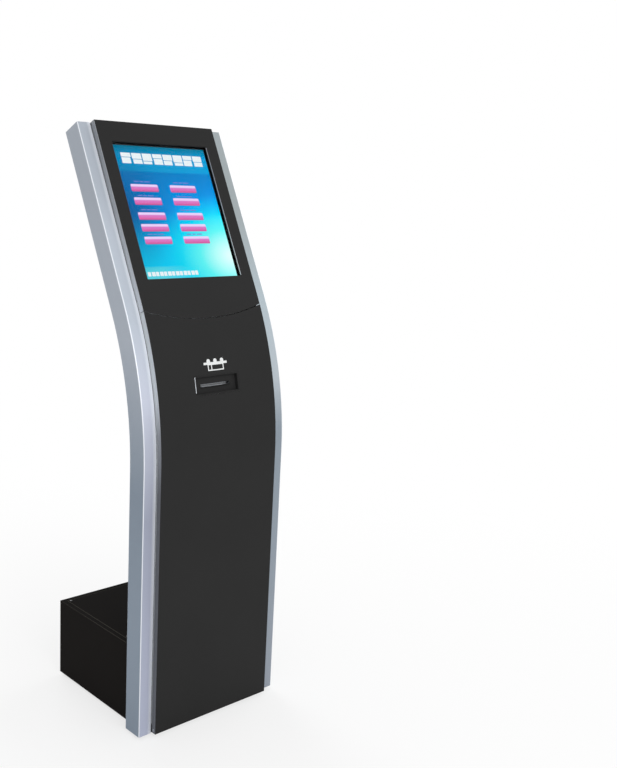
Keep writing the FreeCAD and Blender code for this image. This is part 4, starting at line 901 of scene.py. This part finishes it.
class KIOSK_OT_base(Operator):
    """Base box with its inset lid, screws, base plate and levelling feet"""
    bl_idname = "kiosk.base"
    bl_label = "Base box"

    def execute(self, context):
        softened("base_box", "base_coat", 1.2 * MM)
        softened("base_box_lid", "base_coat", 0.7 * MM)
        softened("base_plate", "dark_box", sizes().edge)
        softened("lid_screws", "black_steel", 0.7 * MM, 3)
        softened("foot_pads", "rubber", 1.5 * MM, 3)
        painted("zinc_steel", "foot_studs")
        return {"FINISHED"}


class KIOSK_OT_rear(Operator):
    """Rear shell, its screws, and the lock"""
    bl_idname = "kiosk.rear"
    bl_label = "Rear shell and lock"

    def execute(self, context):
        softened("rear_shell", "dark_box", sizes().edge)
        softened("shell_screws", "black_steel", 0.7 * MM, 3)
        painted("bright_steel", "lock_barrel", "hinge_pins")
        painted("zinc_steel", "lock_cam", "lock_strike", "hinge_arms")
        return {"FINISHED"}


class KIOSK_OT_sockets(Operator):
    """Mains inlet, rocker switch and network socket on the rear wall"""
    bl_idname = "kiosk.sockets"
    bl_label = "Sockets"

    def execute(self, context):
        for node, edge in (("power_inlet", 0.5), ("switch_housing", 0.5),
                           ("network_socket", 0.4)):
            softened(node, "black_plastic", edge * MM)
        softened("switch_rocker", "gloss_black", 0.8 * MM, 3)
        self.pins()
        self.contacts()
        self.rocker_marks()
        return {"FINISHED"}

    def pins(self):
        """Three flat pins with rounded ends inside the mains inlet."""
        low, high = corners("power_inlet")
        middle = (low + high) / 2
        wide, tall, reach, sunk = mm(2.2, 4.2, 12, 6.8)
        back = high.y - sunk
        made = []
        for step, rise in ((-7, -1), (0, 2), (7, -1)):
            x, z = middle.x + step * MM, middle.z + rise * MM
            pin = block((x - wide / 2, back - reach, z - tall / 2),
                        (x + wide / 2, back, z + tall / 2))
            made.append(rounded(pin, 0.6 * MM, 3))
        finished(merged(made), "inlet_pins", "nickel", "cabinet", None)

    def contacts(self):
        """Eight fine contacts that slope down from the roof of the network socket."""
        low, high = corners("network_socket")
        pitch, thin, drop = mm(1.2, 0.5, 3)
        start = (low.x + high.x) / 2 - 3.5 * pitch
        roof = high.z - 4.6 * MM
        first = block((start - thin / 2, high.y - 13 * MM, roof - thin),
                      (start + thin / 2, high.y - 3 * MM, roof))
        pick(first, points=lambda p: p.y < high.y - 10 * MM)
        bpy.ops.transform.translate(value=(0, 0, -drop))
        object_mode()
        rounded(first, 0.12 * MM, 1)
        made = [first]
        for i in range(1, 8):
            made.append(copy_of(first, (i * pitch, 0, 0)))
        finished(merged(made), "network_contacts", "brass", "cabinet", None)

    def rocker_marks(self):
        """The usual line and ring on the two halves of the rocker."""
        low, high = corners("switch_rocker")
        x = (low.x + high.x) / 2
        lean = math.atan2(2 * MM, high.z - low.z)
        height = high.z - low.z
        inset = 0.26 * height
        line = block(mm(-0.35, -0.15, -2), mm(0.35, 0.15, 2))
        line.matrix_world = (Matrix.Translation((x, high.y - 0.55 * MM, high.z - inset))
                             @ Matrix.Rotation(-lean, 4, "X"))
        nothing_selected()
        bpy.ops.mesh.primitive_torus_add(major_segments=32, minor_segments=8,
                                         major_radius=1.9 * MM, minor_radius=0.25 * MM,
                                         location=(x, high.y - 1.56 * MM, low.z + inset),
                                         rotation=(-math.pi / 2 - lean, 0, 0))
        ring = settle(bpy.context.object)
        marks = merged([rounded(settle(line), 0.12 * MM, 2), ring])
        finished(marks, "rocker_marks", "white_print", "rocker", None)


class KIOSK_OT_fan(Operator):
    """Fan with a hub and pitched blades"""
    bl_idname = "kiosk.fan"
    bl_label = "Fan"

    def execute(self, context):
        s = sizes()
        softened("fan_frame", "black_plastic", 0.6 * MM)
        low, high = corners("fan_rotor")
        middle = (low + high) / 2
        reach = (high.x - low.x) / 2
        depth = high.y - low.y
        hub = disc((0, 0, 0), reach * 0.42, depth, "Y", 40)
        rounded(hub, 1.5 * MM, 3, 60)
        blades = [self.blade(s, reach, depth * 0.8, i) for i in range(s.blade_count)]
        rotor = merged([hub, *blades])
        finished(rotor, "bladed_rotor", "black_plastic", "fan", Matrix.Translation(middle))
        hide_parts("fan_rotor")
        return {"FINISHED"}

    def blade(self, s, reach, depth, number):
        """One blade, wider and flatter towards its tip."""
        inner, outer, sweep = reach * 0.4, reach * 0.97, math.radians(38)
        blade = grid((inner, -0.5), (outer, 0.5), 0, 6, 5)
        for p in blade.data.vertices:
            share = (p.co.x - inner) / (outer - inner)
            across = p.co.y
            around = sweep * across
            pitch = depth * (0.5 - 0.12 * share)
            radius = p.co.x
            p.co = Vector((radius * math.cos(around), 2 * pitch * across * 0.9,
                           radius * math.sin(around)))
        applied(blade, "SOLIDIFY", thickness=s.blade_thick, offset=0)
        turn = Matrix.Rotation(2 * math.pi * number / s.blade_count, 4, "Y")
        blade.matrix_world = turn @ blade.matrix_world
        return outward(settle(blade))


class KIOSK_OT_printer(Operator):
    """Ticket printer: plates, motor, gears, rollers, cutter, roll and lever"""
    bl_idname = "kiosk.printer"
    bl_label = "Ticket printer"

    def execute(self, context):
        for node, finish, edge, segments in (("printer_bracket", "zinc_steel", 0.4, 2),
                                             ("printer_chassis", "zinc_steel", 0.4, 2),
                                             ("stepper_motor", "zinc_steel", 1, 3),
                                             ("print_head", "black_plastic", 0.5, 2),
                                             ("paper_roll", "paper", 0.4, 2),
                                             ("release_lever", "green_lever", 0.6, 2)):
            softened(node, finish, edge * MM, segments)
        for finish, nodes in (("rubber", ["platen_roller"]),
                              ("white_gear", ["platen_gear", "idler_gear"]),
                              ("brass", ["motor_pinion"]),
                              ("blade_steel", ["fixed_blade", "cutter_blade"]),
                              ("zinc_steel", ["roll_arms"]), ("black_plastic", ["roll_spindle"]),
                              ("paper", ["paper_web"]), ("card", ["roll_core"])):
            painted(finish, *nodes)
        return {"FINISHED"}


class KIOSK_OT_electronics(Operator):
    """Computer, supply, printer board with its chips, buttons and speaker"""
    bl_idname = "kiosk.electronics"
    bl_label = "Electronics"

    def execute(self, context):
        for node, finish, edge in (("pc_case", "zinc_steel", 0.8),
                                   ("power_supply", "zinc_steel", 0.8),
                                   ("pc_power_button", "blue_button", 0.5),
                                   ("feed_button", "blue_button", 0.5),
                                   ("button_housing", "black_plastic", 0.4)):
            softened(node, finish, edge * MM)
        self.speaker()
        painted("circuit_board", "printer_board")
        painted("zinc_steel", "column_rails", "head_rails", "display_straps")
        self.chips()
        self.ribs("pc_case", "case_fins", 12)
        self.ribs("power_supply", "supply_fins", 8)
        self.ports()
        return {"FINISHED"}

    def speaker(self):
        """A round speaker: rim, soft surround, sunk cone and dust dome."""
        low, high = corners("speaker")
        middle = (low + high) / 2
        radius, depth = (high.x - low.x) / 2, high.y - low.y
        body = disc(middle, radius, depth, "Y", 48)
        # rings from the rim inwards, as shares of the radius
        for inset, sink in ((0.1, 0.06), (0.06, -0.05), (0.07, 0.05), (0.42, 0.24), (0.1, -0.1)):
            pick(body, faces=lambda f: f.normal.y < -0.99 and (f.center - middle).length < depth
                 and len(f.vertices) > 8)
            bpy.ops.mesh.inset(thickness=inset * radius)
            bpy.ops.transform.translate(value=(0, sink * radius, 0))
        object_mode()
        rounded(body, 0.4 * MM, 2, 50)
        finished(body, "speaker_driver", "black_plastic", "cabinet", None)
        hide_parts("speaker")

    def chips(self):
        """Chips and connectors on the face of the printer's board."""
        low, high, face = mm(62, 130, 28.4)
        foot, tall_board = mm(-20, 60)
        # corners as shares of the board, and height in mm; the button's place stays free
        plan = [((0.08, 0.1), (0.3, 0.35), 1.4), ((0.07, 0.5), (0.19, 0.84), 6),
                ((0.27, 0.54), (0.35, 0.78), 1.2), ((0.42, 0.07), (0.88, 0.18), 7),
                ((0.42, 0.27), (0.55, 0.4), 1.2), ((0.66, 0.28), (0.9, 0.38), 1),
                ((0.78, 0.5), (0.92, 0.74), 4), ((0.34, 0.89), (0.68, 0.96), 3)]
        made = []
        for (u0, v0), (u1, v1), tall in plan:
            chip = block((low + u0 * (high - low), face - tall * MM, foot + v0 * tall_board),
                         (low + u1 * (high - low), face, foot + v1 * tall_board))
            made.append(rounded(chip, 0.4 * MM, 2))
        finished(merged(made), "board_parts", "chip", "cabinet", OUTLET)

    def ports(self):
        """A row of sockets on the computer's front, and the supply's terminals."""
        low, high = corners("pc_case")
        made = []
        proud = 1.2
        # start, width and height in mm
        for start, wide, tall in ((14, 15, 7), (34, 15, 7), (56, 17, 14), (80, 17, 14),
                                  (106, 26, 10)):
            port = block(low + Vector(mm(start, -proud, 16)),
                         low + Vector(mm(start + wide, 0.3, 16 + tall)))
            pick(port, faces=lambda f: f.normal.y < -0.9)
            bpy.ops.mesh.inset(thickness=proud * MM)
            bpy.ops.transform.translate(value=(0, 1 * MM, 0))
            object_mode()
            made.append(rounded(port, 0.25 * MM, 2))
        finished(merged(made), "case_ports", "chip", "cabinet", None)
        low, high = corners("power_supply")
        margin, top = mm(12, 26)
        strip = block((low.x + margin, low.y - 9 * MM, low.z + margin),
                      (high.x - margin, low.y + 0.3 * MM, low.z + top))
        rounded(strip, 0.8 * MM, 2)
        finished(strip, "terminal_block", "chip", "cabinet", None)
        heads = []
        for i in range(7):
            head = disc(low + Vector(mm(20 + 11.7 * i, -4.5, 26.4)), 2.6 * MM, 1.4 * MM, "Z", 20)
            heads.append(rounded(head, 0.4 * MM, 2))
        finished(merged(heads), "terminal_screws", "bright_steel", "cabinet", None)

    def ribs(self, node, name, count):
        """Cooling fins along the top of a metal case."""
        low, high = corners(node)
        pitch = (high.x - low.x) / (count + 2)
        start = low.x + 1.25 * pitch
        margin, sunk, tall = mm(18, 0.2, 2.2)
        first = block((start, low.y + margin, high.z - sunk),
                      (start + pitch * 0.35, high.y - margin, high.z + tall))
        rounded(first, 0.4 * MM, 2)
        fins = [first]
        for i in range(1, count):
            fins.append(copy_of(first, (i * pitch, 0, 0)))
        finished(merged(fins), name, "zinc_steel", "cabinet", None)


class KIOSK_OT_stage(Operator):
    """Pale floor, white surroundings and soft lights"""
    bl_idname = "kiosk.stage"
    bl_label = "Stage"

    def execute(self, context):
        self.floor()
        self.surroundings(context)
        # name, place, width and power
        lamps = [("key_light", (-0.7, -3.4, 2.3), 2.4, 62),
                 ("side_light", (3.2, 0.6, 2.2), 2.2, 30),
                 ("rear_light", (0.8, 3.0, 2.4), 2.2, 45)]
        for name, place, size, power in lamps:
            self.lamp(name, place, size, power)
        return {"FINISHED"}

    def floor(self):
        floor = grid((-20, -20), (20, 20), 0, 4, 4)
        floor.name = "pale_floor"
        m, where = new_material("pale_floor")
        cloud = add_node(m, "TexNoise", {"Vector": (where, "Object"), "Scale": 0.6})
        tone = add_node(m, "Mix", {0: cloud, 6: shade(colours().floor, 0.98), 7: colours().floor},
                        data_type="RGBA")
        matt = add_node(m, "BsdfDiffuse", {0: (tone, 2)})
        glow = add_node(m, "Emission", {0: (1, 1, 1, 1), 1: 1.0})
        far = add_node(m, "VectorMath", {0: (where, "Object")}, operation="LENGTH")
        fade = add_node(m, "MapRange", {0: (far, 1), 1: 0.4, 2: 2.2, 3: 0.72, 4: 1.0})
        ray = add_node(m, "LightPath")
        share = add_node(m, "Math", {0: (ray, "Is Camera Ray"), 1: fade}, operation="MULTIPLY")
        surface(m, {0: share, 1: matt, 2: glow}, "MixShader")
        floor.data.materials.append(m)

    def surroundings(self, context):
        """White to the eye and in reflections, dimmer as light on the object."""
        world = bpy.data.worlds.new("white_surroundings")
        context.scene.world = world
        world.use_nodes = True
        world.node_tree.nodes.clear()
        ray = add_node(world, "LightPath")
        seen = add_node(world, "Math", {0: (ray, "Is Camera Ray"), 1: (ray, "Is Glossy Ray")},
                        operation="MAXIMUM")
        shown = add_node(world, "Math", {0: seen, 1: (ray, "Is Transmission Ray")},
                         operation="MAXIMUM")
        level = add_node(world, "MapRange", {0: shown, 3: 0.55, 4: 1.0})
        sky = add_node(world, "Background", {0: (1, 1, 1, 1), 1: level})
        add_node(world, "OutputWorld", {0: sky})

    def lamp(self, name, place, size, power):
        nothing_selected()
        bpy.ops.object.light_add(type="AREA", location=place)
        lamp = bpy.context.object
        lamp.name = name
        lamp.data.shape = "DISK"
        lamp.data.size = size
        lamp.data.energy = power
        middle = Vector((0, 0, 0.75))
        aim = middle - Vector(place)
        lamp.rotation_euler = aim.to_track_quat("-Z", "Y").to_euler()


class KIOSK_OT_camera(Operator):
    """Camera from the left and front, slightly above the middle"""
    bl_idname = "kiosk.camera"
    bl_label = "Camera"

    def execute(self, context):
        nothing_selected()
        place, lens = (-1.486738, -2.034828, 1.340848), 48.457
        yaw, pitch, roll = (math.radians(a) for a in (43.92, 11.724, 3.009))
        bpy.ops.object.camera_add(location=place)
        camera = bpy.context.object
        ahead = Vector((math.sin(yaw) * math.cos(pitch), math.cos(yaw) * math.cos(pitch),
                        -math.sin(pitch)))
        right = Vector((math.cos(yaw), -math.sin(yaw), 0))
        up = right.cross(ahead)
        across = right * math.cos(roll) + up * math.sin(roll)
        upward = up * math.cos(roll) - right * math.sin(roll)
        turn = Matrix((across, upward, -ahead)).transposed()
        camera.rotation_euler = turn.to_euler()
        camera.data.lens = lens
        camera.data.sensor_width = 36
        camera.data.sensor_fit = "AUTO"
        camera.data.clip_start = 0.05
        context.scene.camera = camera
        context.scene.view_settings.view_transform = "Standard"
        return {"FINISHED"}


PIECES = (KIOSK_OT_column, KIOSK_OT_panels, KIOSK_OT_screen, KIOSK_OT_outlet, KIOSK_OT_base,
          KIOSK_OT_rear, KIOSK_OT_sockets, KIOSK_OT_fan, KIOSK_OT_printer, KIOSK_OT_electronics,
          KIOSK_OT_stage, KIOSK_OT_camera)


class KIOSK_PT_panel(Panel):
    """Lists the kiosk's pieces, sizes and colours in the sidebar"""
    bl_idname = "KIOSK_PT_panel"
    bl_label = "Queue ticket kiosk"
    bl_space_type = "VIEW_3D"
    bl_region_type = "UI"
    bl_category = "Kiosk"

    def draw(self, context):
        for piece in PIECES:
            self.layout.operator(piece.bl_idname)
        for group in (context.scene.kiosk_sizes, context.scene.kiosk_colours):
            box = self.layout.box()
            for name in group.__annotations__:
                box.prop(group, name)


CLASSES = (KioskSizes, KioskColours, *PIECES, KIOSK_PT_panel)


def register():
    for each in CLASSES:
        bpy.utils.register_class(each)
    bpy.types.Scene.kiosk_sizes = PointerProperty(type=KioskSizes)
    bpy.types.Scene.kiosk_colours = PointerProperty(type=KioskColours)


def unregister():
    del bpy.types.Scene.kiosk_colours
    del bpy.types.Scene.kiosk_sizes
    for each in reversed(CLASSES):
        bpy.utils.unregister_class(each)


def main():
    register()
    bpy.ops.kiosk.column()
    bpy.ops.kiosk.panels()
    bpy.ops.kiosk.screen()
    bpy.ops.kiosk.outlet()
    bpy.ops.kiosk.base()
    bpy.ops.kiosk.rear()
    bpy.ops.kiosk.sockets()
    bpy.ops.kiosk.fan()
    bpy.ops.kiosk.printer()
    bpy.ops.kiosk.electronics()
    bpy.ops.kiosk.stage()
    bpy.ops.kiosk.camera()


if __name__ == "__main__":
    main()
